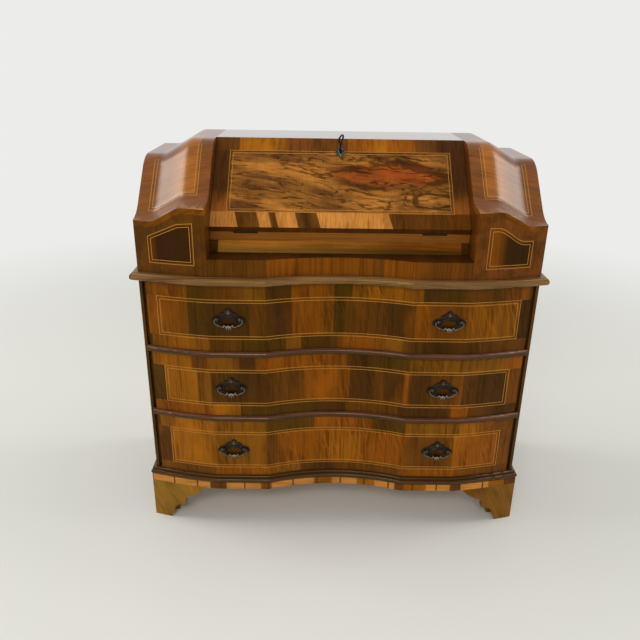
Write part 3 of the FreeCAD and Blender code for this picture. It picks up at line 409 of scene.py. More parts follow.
def handle_places():
    """Name, side and middle of every handle."""
    for drawer in DRAWERS:
        low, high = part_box(f"bail_{drawer}_right")
        for side, sign in zip(SIDES, (-1, 1)):
            yield drawer, side, Vector((sign * (low[0] + high[0]) / 2, PLATE_Y, high[2] - BAIL_EAR))


PLATE_Y = -0.208          # the flat parts of the drawer fronts
HANDLE_X = 0.275          # middle of a handle, from the middle of the case
BAIL_EAR = 0.006          # from the handle's middle up to the top of the bail
PLATE_HOLE_DROP = 0.004   # from the handle's middle down to the middle of the plate's hole


def cast_plate(sizes):
    """Rococo backplate: crest, pierced oval, ribbed end scrolls, lower shell and posts."""
    rise = sizes.plate_relief
    forms = [dome((0, 0, 0), (0.0255, rise * 0.62, 0.0172)), dome(mm(0, 0, 20), (0.0082, rise, 0.0078)),
             dome(mm(0, 0, -14), (0.0105, rise * 0.8, 0.0062))]
    forms.append(scroll(mm(0, -1.9, -4), 0.0195, 0.0017, 0.60, 1.1))
    for sign in (-1, 1):
        forms += [dome(mm(sign * 14, 0, 12.5), (0.0085, rise * 0.85, 0.0068), sign * 0.6),
                  dome(mm(sign * 15, 0, -12), (0.0085, rise * 0.8, 0.0068), -sign * 0.5),
                  dome(mm(sign * 30, 0, 0), (0.0090, rise * 0.9, 0.0080))]
        forms += rod(mm(sign * 3, -2.8, 13), mm(sign * 9.5, -3.6, 19), 0.0016, 0.0011)
        forms += rod(mm(sign * 9.5, -3.6, 19), mm(sign * 15, -3.0, 15.5), 0.0011, 0.0013)
        for across, reach in ((23.5, 7.5), (28.0, 9.0), (32.5, 8.0), (36.5, 5.5)):
            low, high = mm(sign * (across + 2.2), -2.6, -reach * 0.75), mm(sign * (across - 2.2), -2.6, reach)
            forms += rod(low, high, 0.0016, 0.0013)
        forms += rod(mm(sign * 27, 0, 4), mm(sign * 27, -9, 4), 0.0031, 0.0030)
        forms.append(dome(mm(sign * 27, -9, 4), (0.0043,) * 3))
    for k in range(24):
        lean = math.radians(15 * k + 7.5)
        if abs(math.cos(lean)) > 0.93:
            continue
        root, tip = (mm(reach * math.cos(lean), -1.2, high * math.sin(lean))
                     for reach, high in ((21, 14), (29, 19.5)))
        forms += rod(root, tip, 0.0022, 0.0012)
    for sign in (-1, 1):
        forms += rod(mm(sign * 32, -1.0, 0), mm(sign * 39.5, -0.8, 0), 0.0040, 0.0014)
    for k in range(-3, 4):
        lean = math.radians(22 * k)
        tip = mm(9.2 * math.sin(lean), -3.3 + abs(k) * 0.4, 17.5 + 9.2 * math.cos(lean))
        forms += rod(mm(1.6 * math.sin(lean), -3.9, 16), tip, 0.0014, 0.0011)
    for k in range(-2, 3):
        lean = math.radians(26 * k)
        tip = mm(9.5 * math.sin(lean), -2.6, -12.5 - 7.0 * math.cos(lean))
        forms += rod(mm(2.5 * math.sin(lean), -3.0, -12.5), tip, 0.0015, 0.0011)
    plate = join(forms, "plate_model")
    select([plate])
    plate.scale = (1.06, 1.0, 1.10)
    bpy.ops.object.transform_apply()
    hole = disc(mm(0, 0, -4.4), 0.0184, 0.03)
    hole.scale = (1, 0.56, 1)
    melt(plate, sizes.voxel, 0.34, tools=(disc(mm(0, 15, 0), 0.06, 0.03), hole))
    fixings = []
    for sign in (-1, 1):
        fixings += [disc(mm(sign * 27, 11, 4), 0.0019, 0.034), disc(mm(sign * 27, 23.5, 4), 0.0049, 0.003, 6)]
    return join([plate] + fixings, "plate_model")


def cast_bail(sizes):
    """Hanging bail: swelling arms, small scrolls and an acanthus leaf."""
    forms = []
    for sign in (-1, 1):
        bends = [(sign * 23.4, 4.0, 1.5), (sign * 32.5, 4.0, 1.9), (sign * 35.0, 1.0, 2.0),
                 (sign * 34.6, -4.5, 2.0), (sign * 30.5, -9.2, 2.1), (sign * 25.0, -12.0, 2.3),
                 (sign * 19.0, -14.6, 2.1), (sign * 14.5, -16.2, 1.9), (sign * 12.0, -15.4, 1.9),
                 (sign * 10.8, -12.8, 1.7)]
        forms += wire([mm(x, 0, z) for x, z, thick in bends], [thick / 1150 for x, z, thick in bends])
        forms.append(dome(mm(sign * 10.2, -0.2, -11.8), (0.0024,) * 3))
        forms.append(dome(mm(sign * 25.0, 0, -12.0), (0.0031, 0.0026, 0.0025), sign * 0.42))
    forms.append(dome(mm(0, 0.4, -14.6), (0.0112, 0.0018, 0.0022)))
    for k in range(-2, 3):
        lean = math.radians(30 * k)
        length = (13.6, 12.6, 9.6)[abs(k)]
        tip = mm(1.1 * length * math.sin(lean), 0.2, -14.8 - length * math.cos(lean))
        forms += rod(mm(5.2 * math.sin(lean), -0.8, -15.4), tip, 0.0013, 0.0008)
    forms.append(dome(mm(0, -0.6, -13.6), (0.0034, 0.0022, 0.0026)))
    bail = join(forms, "bail_model")
    melt(bail, sizes.voxel, 0.34)
    return bail


# Woods.

TONES = {"o": "orange", "g": "golden", "a": "amber", "r": "russet", "b": "brown", "d": "dark", "v": "olive",
         "m": "moss"}
HALF_RUN = 530      # from the middle of the case to the left edge of the first leaf, in millimetres


def patch_ramp(shader, across, words, number=False, softness=0.25):
    """Veneer leaves side by side, such as "o -380 v": each tone's letter, then the edge in millimetres.

    The soft share of each tone runs on into the next leaf, as heartwood does."""
    letters, inner = words.split()[::2], words.split()[1::2]
    edges = [(float(edge) + HALF_RUN) / (2 * HALF_RUN) for edge in [-HALF_RUN] + inner] + [1.0]
    place = (across + HALF_RUN / 1000) / (HALF_RUN / 500)
    if number:
        stops = [(max(edge, 0), (index * 0.618 % 1,) * 3) for index, edge in enumerate(edges[:-1])]
        return shader.ramp(place, stops, "CONSTANT")
    shades = [TONES[letter] for letter in letters]
    crisp = shader.ramp(place, list(zip(edges, shades)), "CONSTANT")
    middles = [(a + b) / 2 for a, b in zip(edges, edges[1:])]
    wander = shader.growth(across * 18, shader.y * 4, shader.z * 9)
    place = (across + (wander - 0.5) * 0.11 + HALF_RUN / 1000) / (HALF_RUN / 500)
    soft = shader.ramp(place, list(zip(middles, shades)), "EASE")
    return shader.mix(softness, crisp, soft)


WARM = (1.0, 0.58, 0.10)
NEUTRAL = (1.0, 1.0, 1.0)


class Veneer:
    """Walnut whose fibres run along one axis, with growth figure, streaks and pores."""

    def __init__(self, name, run="z"):
        s = self.shader = Shader(name)
        ways = {"z": (s.x, s.z, s.y), "x": (s.z + s.y * 0.7, s.x, s.y), "y": (s.x + s.z * 0.7, s.y, s.z)}
        self.across, self.along, self.deep = ways[run]

    def finish(self, base, leaf=0.0, figure=0.6, streak=0.6, gloss=0.3, coat=0.0, bump=0.10, tighten=1.0,
               specular=0.27, warm=WARM, strings=None, veins=None, coat_roughness=0.14, flame=0.0):
        s = self.shader
        drift = leaf * 7.3
        across = self.across * tighten
        deep = self.deep * 0.6
        wave = s.growth(across * 9 + drift, deep, self.along * 3.2 + drift, 3.0, 0.5)
        swell = (wave - 0.5) * 0.030
        grain = s.growth((across + swell) * 70 + drift * 3, deep * 30, self.along * 3.0, 6.0, 0.62)
        fibre = s.growth((across + swell * 0.6) * 520, deep * 60, self.along * 12 + drift, 4.0, 0.6)
        cloud = s.growth(across * 12 + drift * 2, deep, self.along * 7 + drift)
        stripe = s.growth((across + swell * 0.8) * 210 + drift * 5, deep * 40, self.along * 1.6, 2.0, 0.5)
        darker = (grain.fade(0.46, 0.68) * streak * 0.7 + stripe.fade(0.50, 0.62) * streak * 0.6
                  + cloud.fade(0.50, 0.70) * figure * 0.6).smaller(0.85)
        body = s.mix(darker, base, s.multiply(base, (0.40, 0.34, 0.30)))
        light = cloud.fade(0.50, 0.30) * figure * 0.8
        body = s.mix(light, body, s.multiply(base, (1.45, 1.40, 1.10)))
        body = s.mix(fibre.fade(0.42, 0.68) * 0.30, body, s.multiply(body, (0.50, 0.45, 0.40)))
        if flame:
            lean = across + self.along * 0.22 + (wave - 0.5) * 0.05
            tongue = s.growth(lean * 46 + drift * 4, deep, self.along * 5)
            lick = abs(tongue - 0.5).fade(0.045, 0.005) * cloud.fade(0.40, 0.58) * flame
            body = s.mix(lick, body, s.multiply(base, (1.9, 1.75, 1.2)))
        if veins is not None:
            body = s.mix(veins, body, s.multiply(body, (0.22, 0.20, 0.20)))
        height = fibre * -0.4 + grain * 0.3
        rough = grain * 0.12 + (gloss - 0.05)
        if strings is not None:
            thread = s.mix(cloud.fade(0.3, 0.7) * 0.5, "boxwood", paint("boxwood", 0.7))
            body = s.mix(strings, body, thread)
        return s.surface(body, rough, height, bump, coat, coat_roughness, specular=specular, tint=warm)


def strings_of(distance, sizes, pair=True):
    """1 on the light lines that lie along a signed distance from an outline."""
    half = sizes.string_width / 2
    line = abs(distance) < half
    if not pair:
        return line
    return line.larger(abs(distance + sizes.string_spacing) < half)


def frame_distance(across, up, half_width, low, high):
    """Signed distance outside a rectangle, square-cornered."""
    return (abs(across) - half_width).larger(abs(up - (low + high) / 2) - (high - low) / 2)


SMOKY = 0.45        # how far the tones of the drawers' leaves run into each other
# Leaves of the three drawer fronts, with the rectangle of the stringing: half width, lower and upper edge;
# 'shade' is painted light, darker for the top row and brighter for the lowest.
DRAWER_LEAVES = {
    "top": {
        "upper": "b -477 o -380 v -328 b -246 m -183 d -121 o -15 v 29 g 207 d 252 v 311 b 453 o 476 d",
        "field": "o -380 v -328 d -224 b -183 d -121 o -15 v 13 b 124 d 188 o 207 o 220 r 319 g",
        "lower": "d -477 g -328 b -246 v -136 m -98 d 0 o 116 m 162 d 327 b",
        "ends": "o 0 d", "shade": 0.86, "rect": (0.456, 0.566, 0.671)},
    "middle": {
        "upper": "d -482 g -377 b -338 m -256 d -214 o -97 o 21 d 87 v 186 m 346 m 440 o",
        "field": "g -366 m -330 d -169 b -90 o 31 d 99 b 122 d 170 o 186 d 244 b 307 r 326 d 436 d",
        "lower": "o -330 g -256 v -153 v -58 d 21 b 158 d 268 d 300 o 346 d",
        "ends": "v 0 r", "shade": 1.0, "rect": (0.450, 0.375, 0.479)},
    "low": {
        "upper": "d -478 g -328 m -187 v -62 o 96 v 186 m 329 g 389 r 429 b",
        "field": "g -328 m -187 b -160 o -20 g 70 o 185 b 226 b 317 g 329 o 429 o",
        "lower": "m -478 b -328 o -187 m -98 d 20 b 60 b 186 o 325 b",
        "ends": "b 0 r", "shade": 1.14, "rect": (0.448, 0.1815, 0.293)},
}


class BUREAU_OT_veneer_drawers(bpy.types.Operator):
    """Lays leaves of walnut, cross banding and double stringing on the three drawer fronts"""

    bl_idname = "bureau.veneer_drawers"
    bl_label = "Veneer the drawers"

    def execute(self, context):
        sizes = context.scene.bureau_sizes
        for drawer in DRAWERS:
            plan = DRAWER_LEAVES[drawer]
            veneer = Veneer(f"drawer_{drawer}_veneer")
            s = veneer.shader
            half_width, low, high = plan["rect"]
            distance = frame_distance(s.x, s.z, half_width, low, high)
            inside = distance < -sizes.string_spacing / 2
            ends = (abs(s.x) > half_width) * s.z.between(low, high)
            above = s.z > (low + high) / 2
            tone, shift = [
                s.mix(ends, s.mix(inside, s.mix(above, patch_ramp(s, s.x, plan["lower"], number, SMOKY),
                                                patch_ramp(s, s.x, plan["upper"], number, SMOKY)),
                                  patch_ramp(s, s.x, plan["field"], number, SMOKY)),
                      patch_ramp(s, s.x, plan["ends"], number)) for number in (False, True)]
            # Painted light: each drawer's veneer is darkened or brightened by its row's shade factor.
            tone = s.multiply(tone, (plan["shade"],) * 3)
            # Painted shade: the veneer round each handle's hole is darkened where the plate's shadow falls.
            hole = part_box(f"bail_{drawer}_right")[1][2] - BAIL_EAR - PLATE_HOLE_DROP
            aside, below = (abs(s.x) - HANDLE_X) * 0.6, s.z - hole
            grime = aside.math("SQRT", aside * aside + below * below).fade(0.024, 0.010)
            tone = s.mix(grime * 0.6, tone, "grime")
            front = veneer.finish(tone, shift, figure=0.9, streak=0.75, flame=0.35,
                                  strings=strings_of(distance, sizes))
            dress(f"drawer_{drawer}_front", front, 0.0006)
        lining = Veneer("drawer_lining", "y")
        wood = lining.finish("softwood", figure=0.25, streak=0.25, gloss=0.62, bump=0.2)
        for drawer in DRAWERS:
            for board in ("sides", "bottom", "back"):
                dress(f"drawer_{drawer}_{board}", wood, 0.0004)
        return {"FINISHED"}


class BUREAU_OT_cast_handles(bpy.types.Operator):
    """Casts the backplates and hanging bails and sets them on the drawers"""

    bl_idname = "bureau.cast_handles"
    bl_label = "Cast the handles"

    def execute(self, context):
        sizes = context.scene.bureau_sizes
        plate, bail = cast_plate(sizes), cast_bail(sizes)
        plate.data.materials.append(bronze_material("bronze_plates", 0.0036, 0.0058, 0.55))
        bail.data.materials.append(bronze_material("bronze_bails", 0.0088, 0.0108, 0.95))
        pivot = mm(0, -9, 0)
        for drawer, side, middle in handle_places():
            fitted = placed_copy(plate, f"plate_{drawer}_{side}", middle)
            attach(fitted, f"drawer_{drawer}")
            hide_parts(f"drawer_{drawer}_handle_plates")
            hung = placed_copy(bail, f"bail_{drawer}_{side}_cast", middle + pivot)
            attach(hung, f"bail_{drawer}_{side}")
            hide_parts(f"bail_{drawer}_{side}")
        for model in (plate, bail):
            bpy.data.objects.remove(model)
        return {"FINISHED"}


def bronze_material(name, low, high, rub_and_sheen):
    """Brown bronze, pale where it stands out, partly worn metal and partly a painted highlight; low and high
    are heights over the drawer's front.
    """
    s = Shader(name)
    raised_rub_and_sheen = s.y.fade(PLATE_Y - low, PLATE_Y - high)
    patch = s.noise(s.place, 160.0, 5.0, 0.6)
    # Painted highlight: the pale colour is strongest at the middle of each handle, on the bail's leaf where
    # the glint falls.
    leaf = abs(abs(s.x) - HANDLE_X).fade(0.018, 0.010, 0.5, 1.0)
    bright = (raised_rub_and_sheen * rub_and_sheen * leaf + patch * 0.6 - 0.42).larger(0.0).smaller(1.0)
    green = s.noise(s.place, 60.0, 4.0, 0.6).fade(0.48, 0.64)
    skin = s.mix(green * 0.55, "bronze", "verdigris")
    metal = s.mix(bright, skin, "patina")
    return s.surface(metal, patch * 0.2 + 0.28, patch, 0.2, metallic=0.85)


class BUREAU_OT_finish_case(bpy.types.Operator):
    """Gives the sides, back, feet and inside of the case their woods"""

    bl_idname = "bureau.finish_case"
    bl_label = "Finish the case"

    def execute(self, context):
        def plain(name, tone, run, **settings):
            return Veneer(name, run).finish(tone, **settings)

        def upright_board(name, tone, **settings):
            board = Veneer(name, "z")
            board.across, board.deep = board.shader.y, board.shader.x
            return board.finish(tone, **settings)

        side = upright_board("walnut_side", "stile", figure=0.7, streak=0.7, specular=0.25)
        raw = plain("softwood_boards", "softwood", "x", figure=0.2, streak=0.3, gloss=0.62)
        back = plain("softwood_back", "softwood", "z", figure=0.2, streak=0.3, gloss=0.62)
        desk = Veneer("desk_walnut", "x")
        edge = desk.shader.normal()[1] < -0.4
        desk = desk.finish(desk.shader.mix(edge, "moss", "desk_edge"), figure=0.5)
        loper = plain("loper_walnut", "loper", "y", figure=0.4, streak=0.5)
        gallery = plain("gallery_walnut", "moss", "y", figure=0.4, streak=0.5)
        cheek = upright_board("cheek_walnut", "brown", figure=0.5)
        looks = {
            side: ("side_left", "side_right"), raw: ("bottom_board", "mid_board", "dust_board_lower",
                                                     "dust_board_upper", "loper_guides"),
            back: ("back_panel",), desk: ("desk_floor",), gallery: ("gallery",),
            loper: ("loper_left", "loper_right"), cheek: ("wing_cheek_left", "wing_cheek_right")}
        for material, boards in looks.items():
            for board in boards:
                dress(board, material, 0.0005)
        foot = Veneer("foot_walnut", "z")
        s = foot.shader
        foot.across, foot.along = s.x + s.z * 0.5, s.z - s.x * 0.5
        tone = s.mix(s.x > 0.0, "foot_left", "foot_right")
        foot = foot.finish(tone, figure=0.9, gloss=0.34, tighten=1.1)
        for board in ("foot_front_left", "foot_front_right", "feet_rear"):
            dress(board, foot, 0.0008)
        top = Veneer("top_walnut", "x").finish("russet", gloss=0.16, coat=1.0, warm=NEUTRAL, specular=0.5)
        dress("top_board", top, 0.0015)
        return {"FINISHED"}


FASCIA_TOP = 0.1376                 # the plinth's strip of light blocks
FASCIA_HEIGHT = 0.030
FALL_SHADOW = (0.7885, 0.7795)      # the rail darkens between these heights
FRIEZE_LEAVES = "d -322 b -182 o 75 r 106 o 186 r 297 b 322 d"
FALL_LEAVES = "o -300 g -160 o -20 g 120 o 200 g 300 b"
FASCIA_LEAVES = ("a -345 b -300 a -205 m -178 a -120 a -60 g -10 a 60 g 110 a 164 b 188 g 250 a 318 b "
                 "346 a 430 g 480 b")


class BUREAU_OT_run_mouldings(bpy.types.Operator):
    """Finishes the waist moulding, rails, plinth, frieze and the rail under the desk"""

    bl_idname = "bureau.run_mouldings"
    bl_label = "Run the mouldings"

    def execute(self, context):
        for run, ends in (("x", ("front",)), ("y", SIDES)):
            rim = Veneer(f"waist_walnut_{run}", run)
            waist = rim.finish("waist", figure=0.5, streak=0.9, gloss=0.24, specular=0.4, tighten=1.3)
            base = Veneer(f"plinth_{run}", run)
            s = base.shader
            strip = s.z.between(FASCIA_TOP - FASCIA_HEIGHT, FASCIA_TOP)
            blocks = patch_ramp(s, s.x if run == "x" else s.y, FASCIA_LEAVES)
            joint = (s.x * 95.0).sine().fade(0.97, 1.0) * strip
            blocks = s.mix(joint, blocks, "dark")
            plinth = base.finish(s.mix(strip, "rail", blocks), streak=0.5, gloss=0.27,
                                 coat=(1.0 - strip) * 0.3, bump=0.04)
            for end in ends:
                dress(f"waist_moulding_{end}", waist)
                dress(f"plinth_{end}", plinth)
        for rail in ("rail_lower", "rail_upper"):
            low, high = (corner[2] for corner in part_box(rail))
            bead = Veneer(rail + "_walnut", "x")
            s = bead.shader
            rise = (s.z - low) / (high - low)
            # Painted light on each round bead: a lighter upper edge for its highlight, a darker lower edge
            # for its shade.
            tone = s.mix(rise.fade(0.58, 0.80), "rail", "bead_light")
            tone = s.mix(rise.fade(0.30, 0.05), tone, "dark")
            dress(rail, bead.finish(tone, streak=0.9, gloss=0.25, coat=0.3, bump=0.04, tighten=1.4))
        band = Veneer("frieze_walnut", "z")
        s = band.shader
        tone, shift = (patch_ramp(s, s.x, FRIEZE_LEAVES, number) for number in (False, True))
        # Painted shadow: the frieze's upward faces are coloured dark for the shade that lies on them.
        painted_ledge_shadow = s.normal()[2] > 0.5
        dress("frieze", band.finish(s.mix(painted_ledge_shadow, tone, "dark"), shift, streak=0.7), 0.0006)
        fall = Veneer("fall_rail_walnut", "x")
        s = fall.shader
        tone = s.multiply(patch_ramp(s, s.x, FALL_LEAVES, softness=0.6), (1.10, 0.90, 1.2))
        tone = s.mix(s.z.fade(*FALL_SHADOW) * 0.85, tone, "dark")
        dress("fall_rail", fall.finish(tone, figure=0.7, streak=0.8), 0.0006)
        return {"FINISHED"}


FLAP_TOP_LEAVES = "d -264 g -141 r -70 b -5 b 20 o 86 g 120 o 193 b 245 d"
FLAP_LOW_LEAVES = "a -258 b -204 a -174 b -159 a -109 d -55 a 20 a 124 b 186 b 266 r"
FLAP_FOOT = 0.4906                      # the flap's lower outer edge, measured along the slope
SLOPE = math.sqrt(0.5)
BURL_FIELD = (0.283, 0.044, 0.228)      # half width, lower and upper edge, up the slope
WRITING_FIELD = (0.262, 0.040, 0.230)
BURL_EYES = (((0.125, 0.154), (0.135, 0.036), 0.34), ((0.235, 0.082), (0.050, 0.022), 0.20))


def up_the_slope(s):
    """Distance up the closed flap from its lower outer edge."""
    return (s.y + s.z) * SLOPE - FLAP_FOOT


def eye(across, up, middle, reach, wander):
    """Distance from a burl's eye, 1 on its rim, warped by the growth of the wood."""
    u, v = (across - middle[0]) / reach[0], (up - middle[1]) / reach[1]
    return u.math("SQRT", u * u + v * v) + wander


def burl_veins(s, across, up, eyes):
    """Dark lines of burl walnut: fine and even to the left, bold round the eyes to the right."""
    bend = s.growth(across * 12, 4.0, up * 14, 2.0, 0.5)
    wide = s.growth(across * 5, 0.0, up * 5 + 3)
    u = across + (bend - 0.5) * 0.030
    v = up + across * 0.16 + (wide - 0.5) * 0.050 + (bend - 0.5) * 0.010
    right = across.fade(-0.06, 0.04)
    place = s.growth(across * 12, 6.0, up * 20, 3.0, 0.6)
    veins = None
    for gap, (middle, reach, width) in zip(eyes, BURL_EYES):
        rim = abs(gap - 1.0).fade(width, 0.10) * place.fade(0.34, 0.46)
        rings = (gap * 13.0).sine().fade(0.30, 0.95) * gap.fade(3.2, 1.6) * gap.fade(0.8, 1.0)
        rings = rings * place.fade(0.36, 0.56)
        veins = rim.larger(rings) if veins is None else veins.larger(rim).larger(rings)
    veins = veins * right
    long = s.growth(u * 3.4, 1.5, (up + across * 0.10 + (wide - 0.5) * 0.05) * 13, 4.0, 0.55)
    flow = abs(long - 0.47).fade(0.016, 0.004).larger(abs(long - 0.58).fade(0.013, 0.003))
    flow = flow * place.fade(0.30, 0.42) * across.fade(-0.20, -0.06)
    fine = s.growth(u * 2.6, 7.5, v * 21, 5.0, 0.58)
    threads = (fine * 62.0).sine().fade(0.55, 0.97) * (1.0 - place).fade(0.38, 0.56) * (0.95 - right * 0.3)
    knots = s.growth(u * 9, 2.5, v * 40, 4.0, 0.6).fade(0.60, 0.72) * 0.8
    return veins.larger(threads).larger(knots).larger(flow).smaller(1.0)


class BUREAU_OT_veneer_flap(bpy.types.Operator):
    """Veneers the flap: burl field, stringing and cross banding outside, a plain frame inside"""

    bl_idname = "bureau.veneer_flap"
    bl_label = "Veneer the flap"

    def execute(self, context):
        sizes = context.scene.bureau_sizes
        cover = Veneer("flap_veneer", "z")
        s = cover.shader
        up = up_the_slope(s)
        cover.along = up
        distance = frame_distance(s.x, up, *BURL_FIELD)
        inside = distance < -sizes.string_spacing / 2
        wander = (s.growth(s.x * 11, 9.0, up * 22, 4.0, 0.62) - 0.5) * 1.5
        eyes = [eye(s.x, up, middle, reach, wander) for middle, reach, width in BURL_EYES]
        bend = s.growth(s.x * 4, 3.0, up * 30 + s.x * 5, 5.0, 0.62)
        zone = s.growth(s.x * 7 + 2.6, 5.0, up * 13)
        shade = (bend.fade(0.46, 0.60) * 0.55 + zone.fade(0.48, 0.62) * 0.45
                 + (s.x - up * 0.6).fade(-0.19, -0.27) * 0.3)
        field = s.mix(shade.smaller(0.9), "gilt", "burl_shade")
        field = s.mix(bend.fade(0.49, 0.38) * 0.75, field, "burl_light")
        glow = eyes[0].fade(1.5, 0.4) * (bend.fade(0.62, 0.42) * 0.45 + 0.45)
        field = s.mix(glow, field, "burl_eye")
        field = s.mix(eyes[1].fade(1.1, 0.5) * 0.5, field, "amber")
        low_band = patch_ramp(s, s.x + (up - 0.02) * 0.25, FLAP_LOW_LEAVES)
        top_band = s.multiply(patch_ramp(s, s.x, FLAP_TOP_LEAVES), (1.25, 1.3, 2.0))
        side_band = s.mix(up.fade(0.120, 0.050), "flap_side", "flap_foot")
        band = s.mix(up > BURL_FIELD[2], s.mix(up < BURL_FIELD[1], side_band, low_band), top_band)
        tone = s.mix(inside, band, field)
        turned = s.normal()
        inner = turned[1] > 0.5
        edge = (turned[2] < -0.3) * (turned[1] < 0.3)
        writing = frame_distance(s.x, up, *WRITING_FIELD)
        tone = s.mix(inner, tone, s.mix(writing < 0.0, "brown", "moss"))
        tone = s.mix(edge, tone, "flap_edge")
        outside = (1.0 - inner) * (1.0 - edge)
        lines = strings_of(distance, sizes) * outside
        lines = lines.larger(strings_of(writing, sizes, pair=False) * inner)
        veins = burl_veins(s, s.x, up, eyes) * inside * outside * 0.9
        look = cover.finish(tone, streak=(1.0 - inside * 0.8) * 0.6, strings=lines, veins=veins)
        dress("flap", look, 0.0008)
        return {"FINISHED"}


WING_MIDDLE = 0.4110                    # middle of a wing's top, from the middle of the case
WING_FIELD = (0.0600, -0.1300, 0.1)     # half width, front and back edge of its stringing
STRINGS_END = -0.012                    # the stringing stops short of the flat top
LIP_FRONT = -0.2020
PANEL_SIDES = (0.353, 0.466)            # the dark panels on the wings' fronts
PANEL_FOOT = 0.757


def wing_burl(s):
    """Mottles of the wings' borders."""
    return s.growth(s.x * 28, s.y * 20, s.z * 28, 5.0, 0.6).fade(0.44, 0.62)


def wing_panel(s, away, right):
    """Signed distance outside a front panel: a slanted top on the left wing, a swept one on the right."""
    slant = (away - 0.467) * 0.413 + (s.z - 0.822) * 0.911 + right
    sweep = (s.z - away.fade(0.372, 0.446, 0.858, 0.823)) * 0.92 + (1.0 - right)
    crest = (away - 0.392) * 0.102 + (s.z - 0.856) * 0.995
    sides = (PANEL_SIDES[0] - away).larger(away - PANEL_SIDES[1])
    return sides.larger(PANEL_FOOT - s.z).larger(slant.smaller(sweep)).larger(crest)


class BUREAU_OT_veneer_wings(bpy.types.Operator):
    """Veneers the swept wing tops and their fronts with framed panels"""

    bl_idname = "bureau.veneer_wings"
    bl_label = "Veneer the wings"

    def execute(self, context):
        sizes = context.scene.bureau_sizes
        hood = Veneer("wing_walnut", "x")
        s = hood.shader
        hood.across = (s.y + s.z) * SLOPE + abs(s.x) * 0.25
        away = abs(s.x)
        distance = frame_distance(away - WING_MIDDLE, s.y, *WING_FIELD)
        inside = distance < -sizes.string_spacing / 2
        field = s.mix(away.fade(0.39, 0.43) * 0.8, "wing_glow", "russet")
        tone = s.mix(inside, "sienna", field)
        lip = s.normal()[1] < -0.80
        tone = s.mix(lip, tone, s.mix(wing_burl(s) * 0.6, "sienna", "dark"))
        flat = s.normal()[2] > 0.15
        # Partly worn polish, partly painted highlight: pale patches on the upward faces near the lip.
        scuff = s.growth(s.x * 60, s.y * 22, s.z * 22, 5.0, 0.65).fade(0.44, 0.62)
        tone = s.mix(s.y.fade(-0.150, -0.196) * scuff * flat * 0.45, tone, "scuff")
        # Painted highlight: a bright line on the lip's upward crest.
        tone = s.mix((s.y < LIP_FRONT) * flat, tone, "lip")
        lines = strings_of(distance, sizes) * flat * (s.y < STRINGS_END)
        look = hood.finish(tone, s.x.between(0, 1) * 0.4, figure=0.7, tighten=1.5, strings=lines,
                           coat=(1.0 - lip) * 0.9, coat_roughness=0.27)
        for side in SIDES:
            dress(f"wing_top_{side}", look, 0.0014, 50)
        face = Veneer("wing_front", "z")
        s = face.shader
        away = abs(s.x)
        right = s.x > 0.0
        distance = wing_panel(s, away, right)
        inside = distance < -sizes.string_spacing / 2
        gleam = away.fade(0.405, 0.370) * right + away.fade(0.438, 0.462) * (1.0 - right) * 0.5
        panel = s.mix(gleam * 0.85, "wing_panel", "orange")
        rim = s.mix(wing_burl(s) * 0.6, s.mix(right, "brown", "wing_front"), "dark")
        look = face.finish(s.mix(inside, rim, panel), streak=0.5, strings=strings_of(distance, sizes))
        for side in SIDES:
            dress(f"wing_front_{side}", look, 0.0008)
        return {"FINISHED"}


KEYHOLE = Vector((0, 0.0181, 1.0031))   # its middle, on the flap's face


def cast_escutcheon(sizes):
    """Pear-shaped keyhole plate with a beaded rim and lobes, made flat before it goes to the flap."""
    forms = [dome(mm(0, 0, -4), (0.0095, 0.0020, 0.0105)), dome(mm(0, 0, 7), (0.0056, 0.0020, 0.0095)),
             dome(mm(0, 0, 15), (0.0036, 0.0026, 0.0034)), dome(mm(0, 0, -19), (0.0030, 0.0024, 0.0034)),
             scroll(mm(0, -1.7, 0), 0.0050, 0.0012, 1.0)]
    for sign in (-1, 1):
        forms += [dome(mm(sign * 8.8, 0, -7), (0.0040, 0.0024, 0.0050)),
                  dome(mm(sign * 5.2, 0, -13.5), (0.0042, 0.0022, 0.0042))]
        rim = [(2.6, 15.5), (5.2, 7), (8.4, 0), (12.0, -7), (8.2, -14), (0, -20)]
        forms += wire([mm(sign * x, -1.6, z) for x, z in rim], [0.0010] * len(rim))
    plate = join(forms, "escutcheon_model")
    slot = disc(mm(0, 0, -5), 0.0017, 0.03)
    slot.scale = (1, 3, 1)
    tools = (disc(mm(0, 15, 0), 0.06, 0.03), disc(mm(0, 0, 0), 0.0034, 0.03), slot)
    melt(plate, sizes.voxel * 0.8, 0.4, 2, tools)
    return plate


def cut_key(sizes):
    """Key with a turned collar and an open bow, standing out of the keyhole towards the front."""
    forms = rod(mm(0, 19, 0), mm(0, -36, 0), 0.0025, 0.0024)
    for out, reach in ((-8, 3.4), (-10.5, 4.1), (-13, 3.4), (-36, 3.6)):
        forms.append(dome(mm(0, out, 0), (reach / 1000, 0.0014, reach / 1000)))
    for deep in (15, 12.2):
        forms += rod(mm(0, deep, -1), mm(0, deep, -6.6), 0.0011, 0.0011)
    turns = 18
    ring = [mm(8.4 * math.sin(2 * math.pi * k / turns), -48.2 - 11.2 * math.cos(2 * math.pi * k / turns), 0)
            for k in range(turns + 1)]
    lean = Matrix.Rotation(math.radians(-48), 3, "Y")
    forms += wire([lean @ point for point in ring], [0.0022] * len(ring))
    key = join(forms, "key_model")
    melt(key, sizes.voxel * 0.9, 0.4, 2)
    return key


def spotted_metal(name, plain, spot, grain, edge, rough, relief=0.2, rugged=0.6, **settings):
    """Metal with spots of a second tone; the spots' noise also roughens it."""
    s = Shader(name)
    spots = s.noise(s.place, grain, 5.0, rugged)
    tone = s.mix(spots.fade(*edge), plain, spot)
    return s.surface(tone, spots * rough[0] + rough[1], spots, relief, **settings)


